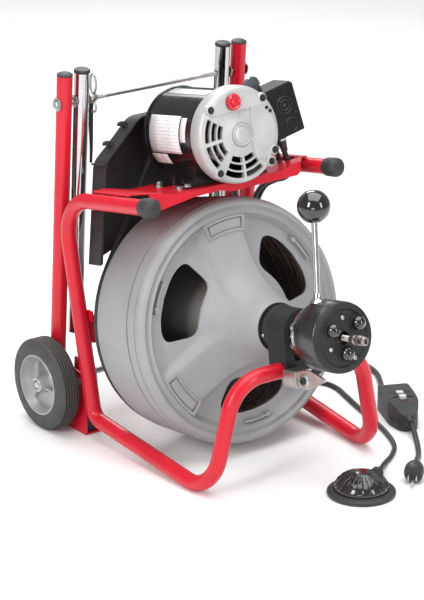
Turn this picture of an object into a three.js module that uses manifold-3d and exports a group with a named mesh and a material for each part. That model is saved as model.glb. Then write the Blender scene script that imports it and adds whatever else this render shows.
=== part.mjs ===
// Drum-type drain snake machine: millimetres, +Z up, +X towards the cable outlet, floor at Z = 0.
// The drum, the motor and the grips share one axis direction, tilted up towards the outlet.
import * as THREE from "three";
import { mergeVertices } from "three/addons/utils/BufferGeometryUtils.js";
import Module from "manifold-3d";

const wasm = await Module();
wasm.setup();

// ---- driving dimensions ----
const frontBendX = 100.738;         // front floor bends, ahead of the origin
const tilt = THREE.MathUtils.degToRad(11);
const tubeRadius = 12.7;          // one inch frame tube
const gap = 0.3;                  // clearance kept between touching pieces

const gripHalfSpan = 179;         // centre plane to grip tube
const floorHalfSpan = 169.5;      // centre plane to floor tube
const gripPoint = new THREE.Vector3(-90, 0, 438.8);
const drumPoint = new THREE.Vector3(-88.8, 0, 215.8);

const uprightHalfSpan = 170.6;
const handleHalfSpan = 138;
const uprightTop = 594;
const uprightFoot = 90;
const uprightSlope = 0.0717;      // forward lean, X per Z
const uprightTopX = -327.5;
const rodZ = 548;
const rodRadius = 4;
const handleTravel = 220;
const handleFoot = 150;

const wheelRadius = 76;
const wheelWidth = 36;
const wheelX = -349;
const wheelHalfSpan = 202.5;
const axleRadius = 6.35;

const drumRadius = 198;
const drumRearRadius = 190;
const beltGrooveRadius = 182;
const seamS = -31.5;              // S runs along the drum axis from the front rim
const drumSideEndS = -129;
const drumBackS = -146;
const noseRadius = 24;
const windowAngles = [155, 35, -85];
const drumSides = 40;

const pulleyRadius = 20;
const beltS = -137;
const beltWidth = 9;
const beltThickness = 5;

const motorY = 9;
const motorZ = 81.7;              // above the grip tubes
const bellRadius = 77;
const shellRadius = 70;
const motorLength = 168;

const housingRadius = 55.5;
const housingBackS = 200;
const housingFrontS = 264.5;
const rollerRadius = 17.5;
const rollerOrbit = 23;
const rollerS = 235;
const rollerAngles = [149, 31, -89];
const leverTurn = THREE.MathUtils.degToRad(-4.8);
const leverShift = -10.8;
const leverLength = 199.5;
const knobRadius = 26;
const cableRadius = 4.8;
const noseEndS = 317;

const boxSize = 80;
const boxDepth = 48;
const boxTurn = THREE.MathUtils.degToRad(11.5);
const boxCentre = new THREE.Vector3(-76, 125.5, 92.5);

const cordRadius = 4.5;
const hoseRadius = 4;
const coilCentre = new THREE.Vector3(-385, 300, 0);
const coilInner = 41;
const coilOuter = 69;
const coilHeight = 36;
const gfciCentre = new THREE.Vector3(-36.4, 284.8, 0);
const gfciTurn = THREE.MathUtils.degToRad(-23.3);
const gfciSize = new THREE.Vector3(126, 50, 46);
const pedalCentre = new THREE.Vector3(171, 38.5, 0);
const hoseInletTurn = THREE.MathUtils.degToRad(24);
const plugStart = new THREE.Vector3(155, 162, 16);
const plugTurn = THREE.MathUtils.degToRad(-45);

// ---- materials ----
const finish = (color, roughness, metalness) =>
  new THREE.MeshStandardMaterial({ color, roughness, metalness });
const redPaint = finish(0xc8202f, 0.35, 0.1);
const chrome = finish(0xd9dadd, 0.15, 1);
const zincSteel = finish(0xb9babc, 0.35, 0.9);
const blackPaint = finish(0x18181a, 0.3, 0.2);
const blackPlastic = finish(0x1c1c1e, 0.5, 0);
const greyPlastic = finish(0xa3a3a3, 0.5, 0);
const castGrey = finish(0xd5d5d3, 0.45, 0.3);
const darkGrip = finish(0x222224, 0.55, 0);
const tyreRubber = finish(0x3c3c3d, 0.8, 0);
const hubPlastic = finish(0xb3b3b3, 0.5, 0);
const cableSteel = finish(0x2e2621, 0.5, 0.6);
const redPlastic = finish(0xd0142b, 0.3, 0);
const beltRubber = finish(0x151515, 0.8, 0);
const cordRubber = finish(0x2a2a2c, 0.6, 0);
const whitePlastic = finish(0xe8e8e8, 0.4, 0);

// ---- geometry helpers ----
// Welds a geometry, drops collapsed triangles and turns its faces outwards.
function weld(source) {
  const bare = source.clone();
  bare.deleteAttribute("normal");
  bare.deleteAttribute("uv");
  const merged = mergeVertices(bare, 1e-4);
  const place = merged.attributes.position;
  const kept = [];
  const a = new THREE.Vector3();
  const b = new THREE.Vector3();
  const c = new THREE.Vector3();
  let volume = 0;
  for (let i = 0; i < merged.index.count; i += 3) {
    const [p, q, r] = [0, 1, 2].map((k) => merged.index.getX(i + k));
    if (p === q || q === r || r === p) continue;
    kept.push(p, q, r);
    a.fromBufferAttribute(place, p);
    b.fromBufferAttribute(place, q);
    c.fromBufferAttribute(place, r);
    volume += a.dot(b.cross(c));
  }
  if (volume < 0) kept.reverse();
  merged.setIndex(kept);
  return merged;
}

function toSolid(geometry) {
  const welded = weld(geometry);
  const vertProperties = new Float32Array(welded.attributes.position.array);
  const triVerts = new Uint32Array(welded.index.array);
  return new wasm.Manifold(new wasm.Mesh({ numProp: 3, vertProperties, triVerts }));
}

function toGeometry(solid) {
  const mesh = solid.getMesh();
  const geometry = new THREE.BufferGeometry();
  geometry.setAttribute("position", new THREE.BufferAttribute(new Float32Array(mesh.vertProperties), 3));
  geometry.setIndex(Array.from(mesh.triVerts));
  return geometry;
}

const cut = (body, ...tools) =>
  toGeometry(tools.reduce((solid, tool) => solid.subtract(toSolid(tool)), toSolid(body)));
const join = (body, ...others) =>
  toGeometry(others.reduce((solid, other) => solid.add(toSolid(other)), toSolid(body)));

// Turns a profile of [S, radius] points about the X axis; open ends must lie on the axis.
function turned(profile, sides) {
  const points = profile.map(([s, r]) => new THREE.Vector2(r, s));
  return new THREE.LatheGeometry(points, sides).rotateZ(-Math.PI / 2);
}

// A ring profile is a closed loop of [S, radius] points.
const turnedRing = (profile, sides) => turned([...profile, profile[0]], sides);

function rod(axis, radius, from, to, sides = 12) {
  const shape = new THREE.CylinderGeometry(radius, radius, to - from, sides);
  if (axis === "x") shape.rotateZ(-Math.PI / 2).translate((from + to) / 2, 0, 0);
  if (axis === "y") shape.translate(0, (from + to) / 2, 0);
  if (axis === "z") shape.rotateX(Math.PI / 2).translate(0, 0, (from + to) / 2);
  return shape;
}

const outline = (points) => new THREE.Shape(points.map(([x, y]) => new THREE.Vector2(x, y)));

// Extrudes an outline of [Y, Z] points along X.
function plateAlongX(shape, from, to, curveSegments = 12) {
  const plate = new THREE.ExtrudeGeometry(shape, { depth: to - from, bevelEnabled: false, curveSegments });
  const basis = new THREE.Matrix4().makeBasis(
    new THREE.Vector3(0, 1, 0), new THREE.Vector3(0, 0, 1), new THREE.Vector3(1, 0, 0));
  return plate.applyMatrix4(basis).translate(from, 0, 0);
}

// Extrudes an outline of [X, Z] points along Y.
function plateAlongY(shape, from, to, curveSegments = 12) {
  const plate = new THREE.ExtrudeGeometry(shape, { depth: to - from, bevelEnabled: false, curveSegments });
  return plate.rotateX(Math.PI / 2).translate(0, to, 0);
}

const box = (x0, x1, y0, y1, z0, z1) =>
  new THREE.BoxGeometry(x1 - x0, y1 - y0, z1 - z0)
    .translate((x0 + x1) / 2, (y0 + y1) / 2, (z0 + z1) / 2);

const regularSection = (radius, sides) =>
  outline(Array.from({ length: sides }, (_, i) => {
    const angle = (2 * Math.PI * i) / sides;
    return [radius * Math.cos(angle), radius * Math.sin(angle)];
  }));

// A bent tube's centre line: straight runs with a round bend at each inner corner.
function bentPath(corners, bendRadii) {
  const path = new THREE.CurvePath();
  let start = corners[0];
  for (let i = 1; i < corners.length - 1; i++) {
    const corner = corners[i];
    const inward = corner.clone().sub(corners[i - 1]).normalize();
    const outward = corners[i + 1].clone().sub(corner).normalize();
    const turn = inward.angleTo(outward);
    const reach = bendRadii[i - 1] * Math.tan(turn / 2);
    const handle = (4 / 3) * Math.tan(turn / 4) * bendRadii[i - 1];
    const a = corner.clone().addScaledVector(inward, -reach);
    const b = corner.clone().addScaledVector(outward, reach);
    path.add(new THREE.LineCurve3(start, a));
    path.add(new THREE.CubicBezierCurve3(
      a, a.clone().addScaledVector(inward, handle), b.clone().addScaledVector(outward, -handle), b));
    start = b;
  }
  path.add(new THREE.LineCurve3(start, corners[corners.length - 1]));
  return path;
}

const tubeAlong = (path, radius, sides, steps) =>
  new THREE.ExtrudeGeometry(regularSection(radius, sides), { extrudePath: path, steps, bevelEnabled: false });

function cordAlong(points, radius, sides, step) {
  const path = new THREE.CatmullRomCurve3(points.map((p) => new THREE.Vector3(...p)), false, "centripetal");
  return tubeAlong(path, radius, sides, Math.ceil(path.getLength() / step));
}

const assembly = new THREE.Group();
const machine = new THREE.Group();
machine.position.x = frontBendX;
assembly.add(machine);
const drumFrame = new THREE.Group();
drumFrame.position.copy(drumPoint);
drumFrame.rotation.y = -tilt;
const gripFrame = new THREE.Group();
gripFrame.position.copy(gripPoint);
gripFrame.rotation.y = -tilt;
machine.add(drumFrame, gripFrame);

function add(group, name, geometry, material) {
  const mesh = new THREE.Mesh(weld(geometry), material);
  mesh.name = name;
  group.add(mesh);
  return mesh;
}

const sides = [["right", -1], ["left", 1]];
const uprightX = (z) => uprightTopX - (uprightTop - z) * uprightSlope;

// ---- frame ----
function sideTube(side) {
  const at = (x, y, z) => new THREE.Vector3(x, side * y, z);
  const corners = [
    at(-98, gripHalfSpan, 437.2),
    at(-325.6, gripHalfSpan, 393),
    at(-256.7, floorHalfSpan + 1.5, 37.7),
    at(51.5, floorHalfSpan - 7.5, 6.45),
    at(58.5, 122, 187),
    at(58.5, 36, 186.5),
  ];
  return tubeAlong(bentPath(corners, [72, 24, 56, 62]), tubeRadius, 8, 64);
}

function upright(side) {
  const length = (uprightTop - uprightFoot) * Math.hypot(1, uprightSlope);
  const tube = rod("z", tubeRadius, -length, 0, 10);
  tube.rotateY(Math.atan(uprightSlope)).translate(uprightTopX, side * uprightHalfSpan, uprightTop);
  const bore = rod("y", rodRadius + gap, -220, 220, 10).translate(uprightX(rodZ), 0, rodZ);
  return cut(tube, bore);
}

function handleTube(side) {
  const wall = 2;
  const stretch = Math.hypot(1, uprightSlope);
  const length = (uprightTop - handleFoot) * stretch;
  const inner = tubeRadius - 0.2 - wall;
  const tube = turnedRing([[-length, inner], [-length, inner + wall], [0, inner + wall], [0, inner]], 12);
  tube.rotateY(-Math.PI / 2);
  const rodDrop = (uprightTop - rodZ) * stretch;
  const slotWide = rodRadius + 1;
  const slot = box(-slotWide, slotWide, -30, 30, -rodDrop - handleTravel - 8, -rodDrop + slotWide);
  return toGeometry(toSolid(tube).subtract(toSolid(slot)))
    .rotateY(Math.atan(uprightSlope)).translate(uprightTopX, side * handleHalfSpan, uprightTop);
}

function handleCap(side) {
  const cap = turned([[gap, 0], [gap, 13.2], [4.5, 13.2], [6, 11.5], [6, 0]], 12).rotateY(-Math.PI / 2);
  return cap.rotateY(Math.atan(uprightSlope)).translate(uprightTopX, side * handleHalfSpan, uprightTop);
}

// A channel open to the front and top that stands on the floor and carries the axle.
function footBracket(side) {
  const profile = [[-374, 88], [-374, 62], [-352, 20], [-326, 0], [-276, 0], [-275, 22], [-288, 104],
    [-348.5, 112], [-349, 88]];
  const hollow = [[-371, 130], [-371, 63], [-350, 23], [-325, 3], [-200, 3], [-200, 130]];
  const shell = cut(
    plateAlongY(outline(profile), 145, 175),
    plateAlongY(outline(hollow), 148, 172),
    rod("y", axleRadius + gap, 130, 190).translate(wheelX, 0, wheelRadius));
  return side > 0 ? shell : shell.rotateZ(Math.PI).scale(-1, 1, 1);
}

function rearCrossbar() {
  const s = -199;
  const bar = box(s - 4, s + 4, -160.4, 160.4, -22, 22);
  const boss = rod("x", 24, s - 10, s + 10, 20);
  return cut(join(bar, boss), rod("x", 12.7, s - 20, s + 20, 20));
}

function motorChannel() {
  const top = [[-176, 16.2], [-150, 16.2], [-104, 6], [104, 6], [150, 16.2], [176, 16.2]];
  const under = top.map(([y, z]) => [y, z - 3]).reverse();
  const plate = plateAlongX(outline([...top, ...under]), -160, -35);
  const lip = [[-150, 16.2], [-104, 6], [104, 6], [140, 14], [140, -6], [0, -8], [-18, -3], [-70, -4], [-150, -15]];
  const front = plateAlongX(outline(lip), -35, -32);
  const corner = [[-160, 200], [-20, 200], [-20, 139], [-34, 139], [-58, 165], [-58, 200]];
  const trims = [1, -1].map((side) => {
    const shape = outline(corner.slice(1).map(([x, y]) => [x, side * y]));
    return new THREE.ExtrudeGeometry(shape, { depth: 60, bevelEnabled: false }).translate(0, 0, -20);
  });
  const cordHole = box(-98, -60, 139, 163, -30, 60);
  return cut(join(plate, front), ...trims, cordHole);
}

function gripCap(side) {
  const cap = turned([[0, 0], [0, 13.4], [6, 15.5], [18, 15.5], [24, 11], [26, 0]], 12);
  return cap.translate(-7.4, side * gripHalfSpan, 0);
}

function handleRod() {
  const reach = 186;
  const shank = rod("y", rodRadius, -reach, reach, 10);
  const heads = [-1, 1].map((side) => rod("y", 7.5, Math.min(side * 184.5, side * 190),
    Math.max(side * 184.5, side * 190), 6));
  return join(shank, ...heads).translate(uprightX(rodZ), 0, rodZ);
}

function wingNut() {
  const ring = (z, rx, rz) => {
    const shape = new THREE.Shape().absellipse(0, z, rx, rz, 0, 2 * Math.PI);
    shape.holes.push(new THREE.Path().absellipse(0, z, rx - 3, rz - 3, 0, 2 * Math.PI, true));
    return plateAlongY(shape, -117, -113.5, 5);
  };
  const hub = rod("y", 9, -124.5, -110, 10);
  const nut = join(hub, ring(24, 9, 17), ring(-16, 8, 10));
  return cut(nut, rod("y", rodRadius + gap, -140, -100, 10)).translate(uprightX(rodZ), 0, rodZ);
}

function addFrame() {
  for (const [name, side] of sides) {
    add(machine, `side_tube_${name}`, sideTube(side), redPaint);
    add(machine, `upright_${name}`, upright(side), redPaint);
    add(machine, `foot_bracket_${name}`, footBracket(side), redPaint);
    add(machine, `handle_tube_${name}`, handleTube(side), chrome);
    add(machine, `handle_cap_${name}`, handleCap(side), blackPlastic);
    add(gripFrame, `grip_cap_${name}`, gripCap(side), darkGrip);
  }
  add(drumFrame, "rear_crossbar", rearCrossbar(), redPaint);
  add(gripFrame, "motor_channel", motorChannel(), redPaint);
  add(machine, "handle_rod", handleRod(), zincSteel);
  add(machine, "wing_nut", wingNut(), zincSteel);
  add(machine, "axle", rod("y", axleRadius, -223, 223).translate(wheelX, 0, wheelRadius), zincSteel);
}

// ---- wheels ----
function addWheels() {
  const half = wheelWidth / 2;
  const tyreProfile = [[-half, 52], [-half, 66], [-half + 3, 72], [-half + 8, wheelRadius], [half - 8, wheelRadius],
    [half - 3, 72], [half, 66], [half, 52], [half - 5, 50], [-half + 5, 50]];
  const hubProfile = [[-half + 1, 7], [-half + 1, 13], [-4, 15], [-4, 42], [-half + 6, 45], [-half + 6, 49.6],
    [half - 6, 49.6], [half - 6, 45], [4, 42], [4, 15], [half - 1, 13], [half - 1, 7]];
  for (const [name, side] of sides) {
    const place = (shape) => shape.rotateZ(Math.PI / 2).translate(wheelX, side * wheelHalfSpan, wheelRadius);
    add(machine, `tyre_${name}`, place(turnedRing(tyreProfile, 28).rotateX(Math.PI / 2)), tyreRubber);
    add(machine, `wheel_hub_${name}`, place(turnedRing(hubProfile, 24)), hubPlastic);
  }
}

// ---- drum ----
function windowTool(angleDeg) {
  const shape = new THREE.Shape();
  const halfInner = THREE.MathUtils.degToRad(27);
  const halfOuter = THREE.MathUtils.degToRad(29);
  const centre = THREE.MathUtils.degToRad(angleDeg);
  shape.absarc(0, 0, 149, centre - halfOuter, centre + halfOuter, false);
  shape.absarc(0, 0, 86, centre + halfInner, centre - halfInner, true);
  return plateAlongX(shape, -28, 60, 10);
}

function addDrum() {
  const outer = [[seamS, drumRadius], [-10, 196], [0, 190], [1, 150], [20, 86], [50, 60], [80, 46], [96.5, 38]];
  const nose = [[96.5, noseRadius], [152, noseRadius], [152, 14], [90, 14], [88, 34]];
  const inner = [[76, 42], [46, 56], [15, 84], [-3, 149], [-4, 187], [-12, 192], [seamS, 194.5]];
  const front = turnedRing([...outer, ...nose, ...inner], drumSides);
  add(drumFrame, "drum_front_shell", cut(front, ...windowAngles.map(windowTool)), greyPlastic);

  const rear = turnedRing([[seamS - gap, 194.5], [drumSideEndS + 3, 186], [drumSideEndS - 2, 178],
    [drumBackS + 4, 178], [drumBackS + 4, 22], [drumBackS, 22], [drumBackS, beltGrooveRadius - 1],
    [drumSideEndS - 1, beltGrooveRadius], [drumSideEndS, drumRearRadius], [seamS - gap, drumRadius - 0.3]], drumSides);
  add(drumFrame, "drum_rear_shell", rear, greyPlastic);

  const innerDrum = turnedRing([[drumBackS + 5, 40], [drumBackS + 5, 86], [-40, 78], [-12, 60], [10, 40],
    [8, 37], [-14, 56], [-42, 74.5], [drumBackS + 9, 82], [drumBackS + 9, 40]], 24);
  add(drumFrame, "inner_drum", innerDrum, blackPlastic);
  const wound = turnedRing([[-136, 158], [-128, 154], [-50, 156], [-38, 166], [-36, 178], [-40, 183], [-110, 179], [-136, 172]],
    28);
  add(drumFrame, "cable_coil", wound, cableSteel);

  const shaft = turned([[-206, 0], [-206, 12], [drumBackS - 3, 12], [drumBackS - 3, 30], [drumBackS - gap, 30],
    [drumBackS - gap, 21], [drumBackS + 4, 21], [drumBackS + 4, 0]], 20);
  add(drumFrame, "drum_shaft", shaft, zincSteel);
  const nosed = turned([[60, 0], [60, cableRadius], [296, cableRadius], [297, 8], [noseEndS - 2, 8],
    [noseEndS, 6], [noseEndS, 0]], 12);
  add(drumFrame, "cable_end", nosed, zincSteel);
}

// ---- belt drive and motor ----
// Loop of the belt's inner or outer face around the drum groove and the pulley, in [Y, Z] of the drum frame.
function beltLoop(drumR, pulleyR, pulleyCentre, steps) {
  const span = Math.hypot(pulleyCentre.x, pulleyCentre.y);
  const heading = Math.atan2(pulleyCentre.y, pulleyCentre.x);
  const spread = Math.acos((drumR - pulleyR) / span);
  const points = [];
  for (let i = 0; i <= steps; i++) {
    const angle = heading + spread + ((2 * Math.PI - 2 * spread) * i) / steps;
    points.push([drumR * Math.cos(angle), drumR * Math.sin(angle)]);
  }
  const small = 6;
  for (let i = 0; i <= small; i++) {
    const angle = heading - spread + (2 * spread * i) / small;
    points.push([pulleyCentre.x + pulleyR * Math.cos(angle), pulleyCentre.y + pulleyR * Math.sin(angle)]);
  }
  return points;
}

// The motor axis seen from the drum frame.
const gripInDrum = gripPoint.clone().sub(drumPoint).applyAxisAngle(new THREE.Vector3(0, 1, 0), tilt);
const pulleyCentre = new THREE.Vector2(motorY, gripInDrum.z + motorZ);

function driveBelt() {
  const slack = 1.2;
  const inner = beltLoop(beltGrooveRadius + slack, pulleyRadius + slack, pulleyCentre, 42);
  const outer = beltLoop(beltGrooveRadius + slack + beltThickness, pulleyRadius + slack + beltThickness, pulleyCentre, 42);
  const shape = outline(outer);
  shape.holes.push(new THREE.Path(inner.map(([y, z]) => new THREE.Vector2(y, z))));
  return plateAlongX(shape, beltS - beltWidth / 2, beltS + beltWidth / 2);
}

function beltGuard() {
  const edge = [[-60, 334], [-105, 296], [-136, 272], [-147, 216], [-168, 112], [112, 205], [84, 300],
    [50, 334]];
  const wall = 2.5;
  const room = [[-59, 331.5], [-103, 294], [-133, 270.5], [-144.5, 216], [-166, 90], [138, 90], [109.5, 205],
    [81.5, 299], [49, 331.5]];
  const shell = plateAlongX(outline(edge), -165, -131);
  const hollow = plateAlongX(outline(room), -165 + wall, -100);
  return cut(shell, hollow);
}

function addMotor() {
  const motor = new THREE.Group();
  motor.position.set(0, motorY, motorZ);
  gripFrame.add(motor);
  const rearX = -motorLength;
  const bell = turnedRing([[-28, 72], [-28, bellRadius], [-8, bellRadius], [0, bellRadius - 8], [0, 14],
    [4, 12], [4, 7], [-6, 7], [-4, 60], [-10, 72]], 32);
  const resetAt = [-7.3, 53.2];
  const resetHole = rod("x", 8.6, -20, 20, 12).translate(0, ...resetAt);
  add(motor, "motor_front_bell", cut(bell, resetHole), castGrey);
  add(motor, "reset_button", rod("x", 8, -3.4, 6, 12).translate(0, ...resetAt), redPlastic);
  const shell = turnedRing([[-150, shellRadius - 3], [-150, shellRadius], [-28 - gap, shellRadius],
    [-28 - gap, shellRadius - 3]], 32);
  add(motor, "motor_shell", shell, blackPaint);
  const back = turnedRing([[-150 - gap, 66], [-150 - gap, shellRadius], [rearX + 10, shellRadius], [rearX, 62],
    [rearX, 8], [rearX + 4, 8], [rearX + 4, 60], [rearX + 10, 66]], 32);
  add(motor, "motor_rear_bell", back, blackPaint);
  const rotor = turned([[-190, 0], [-190, 6], [-140, 6], [-140, 44], [-45, 44], [-45, 6], [-2, 6], [-2, 0]], 20);
  add(motor, "motor_rotor", rotor, zincSteel);
  const beltX = beltS - gripInDrum.x;
  const pulley = turnedRing([[beltX - 8, 6 + gap], [beltX - 8, pulleyRadius + 3], [beltX - 6, pulleyRadius + 3],
    [beltX - 5.5, pulleyRadius], [beltX + 5.5, pulleyRadius], [beltX + 6, pulleyRadius + 3],
    [beltX + 8, pulleyRadius + 3], [beltX + 8, 6 + gap]], 24);
  add(motor, "motor_pulley", pulley, zincSteel);

  const saddle = outline([[-78, -75.2], [78, -75.2], [78, -72], [62, -66], [62, -40], [-62, -40], [-62, -66], [-78, -72]]);
  const cradle = cut(plateAlongX(saddle, -140, -50), rod("x", shellRadius + gap, -160, 0, 32));
  add(motor, "motor_cradle", cradle, blackPaint);
}

function addSwitchBox() {
  const unit = new THREE.Group();
  unit.position.copy(boxCentre);
  unit.rotation.x = boxTurn;
  gripFrame.add(unit);
  const half = boxSize / 2;
  const front = boxDepth / 2;
  const body = box(-front, front, -half, half, -half, half);
  const room = box(-front - 20, front - 3, -half + 3, half - 3, -half + 3, half - 3);
  const neck = (x) => rod("z", 9, -half - 5.5, -half + 1, 12).translate(x, 0, 0);
  const spindle = rod("z", 4.4, 0, 60, 10).translate(-4, -18, 0);
  add(unit, "switch_box", cut(join(cut(body, room), neck(10), neck(-12)), spindle), blackPaint);
  const knob = join(rod("z", 14, half + 0.5, half + 12, 16), rod("z", 4, half - 12, half + 1, 10),
    box(-3, 3, -15, 15, half + 11, half + 22)).translate(-4, -18, 0);
  add(unit, "switch_knob", knob, blackPlastic);
}

// ---- feed unit ----
function frontBracket() {
  const halfWide = 35.2;
  const arch = new THREE.Shape();
  arch.moveTo(-halfWide, -74);
  arch.lineTo(halfWide, -74);
  arch.lineTo(halfWide, 0);
  arch.absarc(0, 0, halfWide, 0, Math.PI, false);
  const body = plateAlongX(arch, 113, 158, 10);
  const flange = turnedRing([[99, 25], [99, 39], [104, 39], [113.5, 36], [113.5, 25]], 24);
  return cut(join(body, flange), rod("x", 30.4, 117, 170, 24), rod("x", 25, 90, 120, 24));
}

function feedSupport() {
  const block = box(160, 186, -44, -16, -78, -50);
  const arm = plateAlongY(outline([[170, -78], [232, -70], [262, -60], [262, -56], [220, -45], [170, -48]]), -44, -40);
  return join(block, arm);
}

function addFeedUnit() {
  add(drumFrame, "front_bracket", frontBracket(), blackPaint);
  add(drumFrame, "front_bearing", turnedRing([[118, 24.6], [118, 30], [150, 30], [150, 24.6]], 24), zincSteel);
  add(drumFrame, "feed_back_plate", turnedRing([[158.5, 12], [158.5, 22], [188, 22], [188, 44], [196, 44], [196, 15.4],
    [210, 15.4], [210, 12]], 24), chrome);
  add(drumFrame, "feed_support", feedSupport(), chrome);
  const housing = turnedRing([[housingBackS, 16], [housingBackS, 44], [housingBackS + 9, housingRadius],
    [housingFrontS - 2.5, housingRadius], [housingFrontS, 53.5], [housingFrontS, 47], [206, 47], [206, 16]], 32);
  add(drumFrame, "feed_housing", housing, blackPaint);
  const plate = rod("x", 46.4, 257, housingFrontS, 28);
  add(drumFrame, "feed_front_plate", cut(plate, rod("x", 10.5, 240, 280, 16)), blackPaint);

  const lever = new THREE.Group();
  lever.rotation.x = leverTurn;
  lever.position.y = leverShift;
  drumFrame.add(lever);
  const leverS = 215;
  const bossTop = housingRadius + 8;
  const stem = join(rod("z", 8, housingRadius + 1, bossTop, 10), rod("z", 5, bossTop - 1, leverLength - 22, 10));
  add(lever, "feed_lever", stem.translate(leverS, 0, 0), chrome);
  const ball = new THREE.SphereGeometry(knobRadius, 20, 12).rotateX(Math.PI / 2).translate(leverS, 0, leverLength);
  add(lever, "feed_knob", cut(ball, box(leverS - 30, leverS + 30, -30, 30, 100, leverLength - 21.5)), blackPlastic);

  rollerAngles.forEach((angle, i) => {
    const turn = THREE.MathUtils.degToRad(angle);
    const roller = rod("x", rollerRadius, rollerS - 13, rollerS + 13, 20)
      .translate(0, rollerOrbit * Math.cos(turn), rollerOrbit * Math.sin(turn));
    add(drumFrame, `feed_roller_${i + 1}`, roller, zincSteel);
  });
}

// ---- foot switch, hose and power cord ----
function gfciFrame() {
  const unit = new THREE.Group();
  unit.position.copy(gfciCentre);
  unit.rotation.z = gfciTurn;
  machine.add(unit);
  return unit;
}

function addPedal() {
  const pedal = new THREE.Group();
  pedal.position.copy(pedalCentre);
  machine.add(pedal);
  const tray = turned([[0, 0], [0, 52], [3, 54], [6, 54], [9, 50], [9.3, 43.2], [3, 43.2], [3, 0]], 28)
    .rotateY(-Math.PI / 2);
  const inlet = rod("y", 5.5, 48.5, 62, 10).translate(0, 0, 13).rotateZ(hoseInletTurn);
  add(pedal, "pedal_base", join(tray, inlet), cordRubber);
  const dome = turned([[36, 0], [34, 16], [27, 28], [18, 37], [9.6, 40], [9.6, 42.6], [14, 42.6], [20, 41],
    [29, 33], [36, 19], [38, 0]], 24).rotateY(-Math.PI / 2);
  add(pedal, "pedal_dome", dome, cordRubber);
}

function addCords() {
  const hoseRoute = [[-185.4, 134.7, 468.5], [-181, 139, 448], [-181, 146, 425], [-191, 144, 403], [-218, 146, 390],
    [-245, 148, 372], [-262, 148, 329], [-278, 147, 286], [-271, 141, 221], [-262, 139, 162], [-252, 141, 102],
    [-248, 143, 42], [-246, 152, 12], [-245, 180, 4.8], [-247, 225, 4.8], [-243, 262, 4.8], [-215, 282, 4.8],
    [-157, 270, 4.8], [-93, 250, 4.8], [-25, 232, 4.8], [26, 216, 4.8], [67, 190, 4.8], [96, 158, 4.8],
    [112, 132, 5.5], [129, 113.5, 9], [145.2, 96.6, 13]];
  add(machine, "air_hose", cordAlong(hoseRoute, hoseRadius, 8, 20), cordRubber);
  const leadRoute = [[-163.9, 134.7, 472.6], [-160, 139, 452], [-158, 149, 430], [-174, 153, 408], [-208, 156, 393],
    [-244, 158, 368], [-264, 158, 323], [-277, 157, 281], [-271, 152, 221], [-262, 150, 162], [-254, 151, 102],
    [-254, 153, 52], [-260, 162, 14], [-265, 190, 5.3], [-275, 225, 5.3], [-297, 260, 8], [-315.3, 279.8, 12]];
  add(machine, "power_lead", cordAlong(leadRoute, cordRadius, 8, 20), cordRubber);
  const coil = turnedRing([[0.2, coilInner], [0.2, coilOuter], [coilHeight, coilOuter], [coilHeight, coilInner]], 24);
  add(machine, "power_coil", coil.rotateY(-Math.PI / 2).translate(coilCentre.x, coilCentre.y, 0), cordRubber);
  const tailRoute = [[-343, 360.5, 10], [-320, 372, 7], [-285, 382, 5.3], [-245, 385, 5.3], [-205, 374, 5.3],
    [-165, 351, 6], [-130, 326, 11], [-96.3, 310.6, 18.2]];
  add(machine, "power_tail", cordAlong(tailRoute, cordRadius, 8, 20), cordRubber);
  const plugRoute = [[23.6, 259.1, 18.2], [42, 251, 13.5], [66, 237, 6.5], [92, 219, 5.3], [118, 198, 6.5], [138, 179, 12],
    [plugStart.x - 0.5, plugStart.y + 0.5, plugStart.z]];
  add(machine, "plug_lead", cordAlong(plugRoute, cordRadius, 8, 20), cordRubber);

  const gfci = gfciFrame();
  const { x: long, y: wide, z: high } = gfciSize;
  const shape = outline([[-long / 2, 2], [-long / 2 + 2, 0.2], [long / 2 - 2, 0.2], [long / 2, 2], [long / 2, 30],
    [long / 2 - 14, high], [-long / 2 + 14, high], [-long / 2, 30]]);
  const buttonAt = [2, 19];
  const pocket = (x) => box(x - 5.3, x + 5.3, -6.3, 6.3, high - 8, high + 5);
  add(gfci, "gfci_case", cut(plateAlongY(shape, -wide / 2, wide / 2), ...buttonAt.map(pocket)), cordRubber);
  ["gfci_test_button", "gfci_reset_button"].forEach((name, i) => {
    const x = buttonAt[i];
    add(gfci, name, box(x - 5, x + 5, -6, 6, high - 4.5, high + 1.5), whitePlastic);
  });

  const plug = turned([[0, 0], [0, 6], [18, 9], [24, 15], [46, 15.5], [50, 14], [50, 0]], 14);
  const blades = [box(49, 68, -7, -5.4, -3.2, 3.2), box(49, 68, 5.4, 7, -3.2, 3.2), rod("x", 2.4, 49, 70, 8).translate(0, 0, -8)];
  add(machine, "plug", join(plug, ...blades).rotateZ(plugTurn).translate(...plugStart.toArray()), cordRubber);
}

addFrame();
addWheels();
addDrum();
add(drumFrame, "drive_belt", driveBelt(), beltRubber);
add(drumFrame, "belt_guard", beltGuard(), blackPlastic);
addMotor();
addSwitchBox();
addFeedUnit();
addPedal();
addCords();

export default assembly;
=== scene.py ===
import math

import bmesh
import bpy
from mathutils import Matrix, Vector


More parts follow.
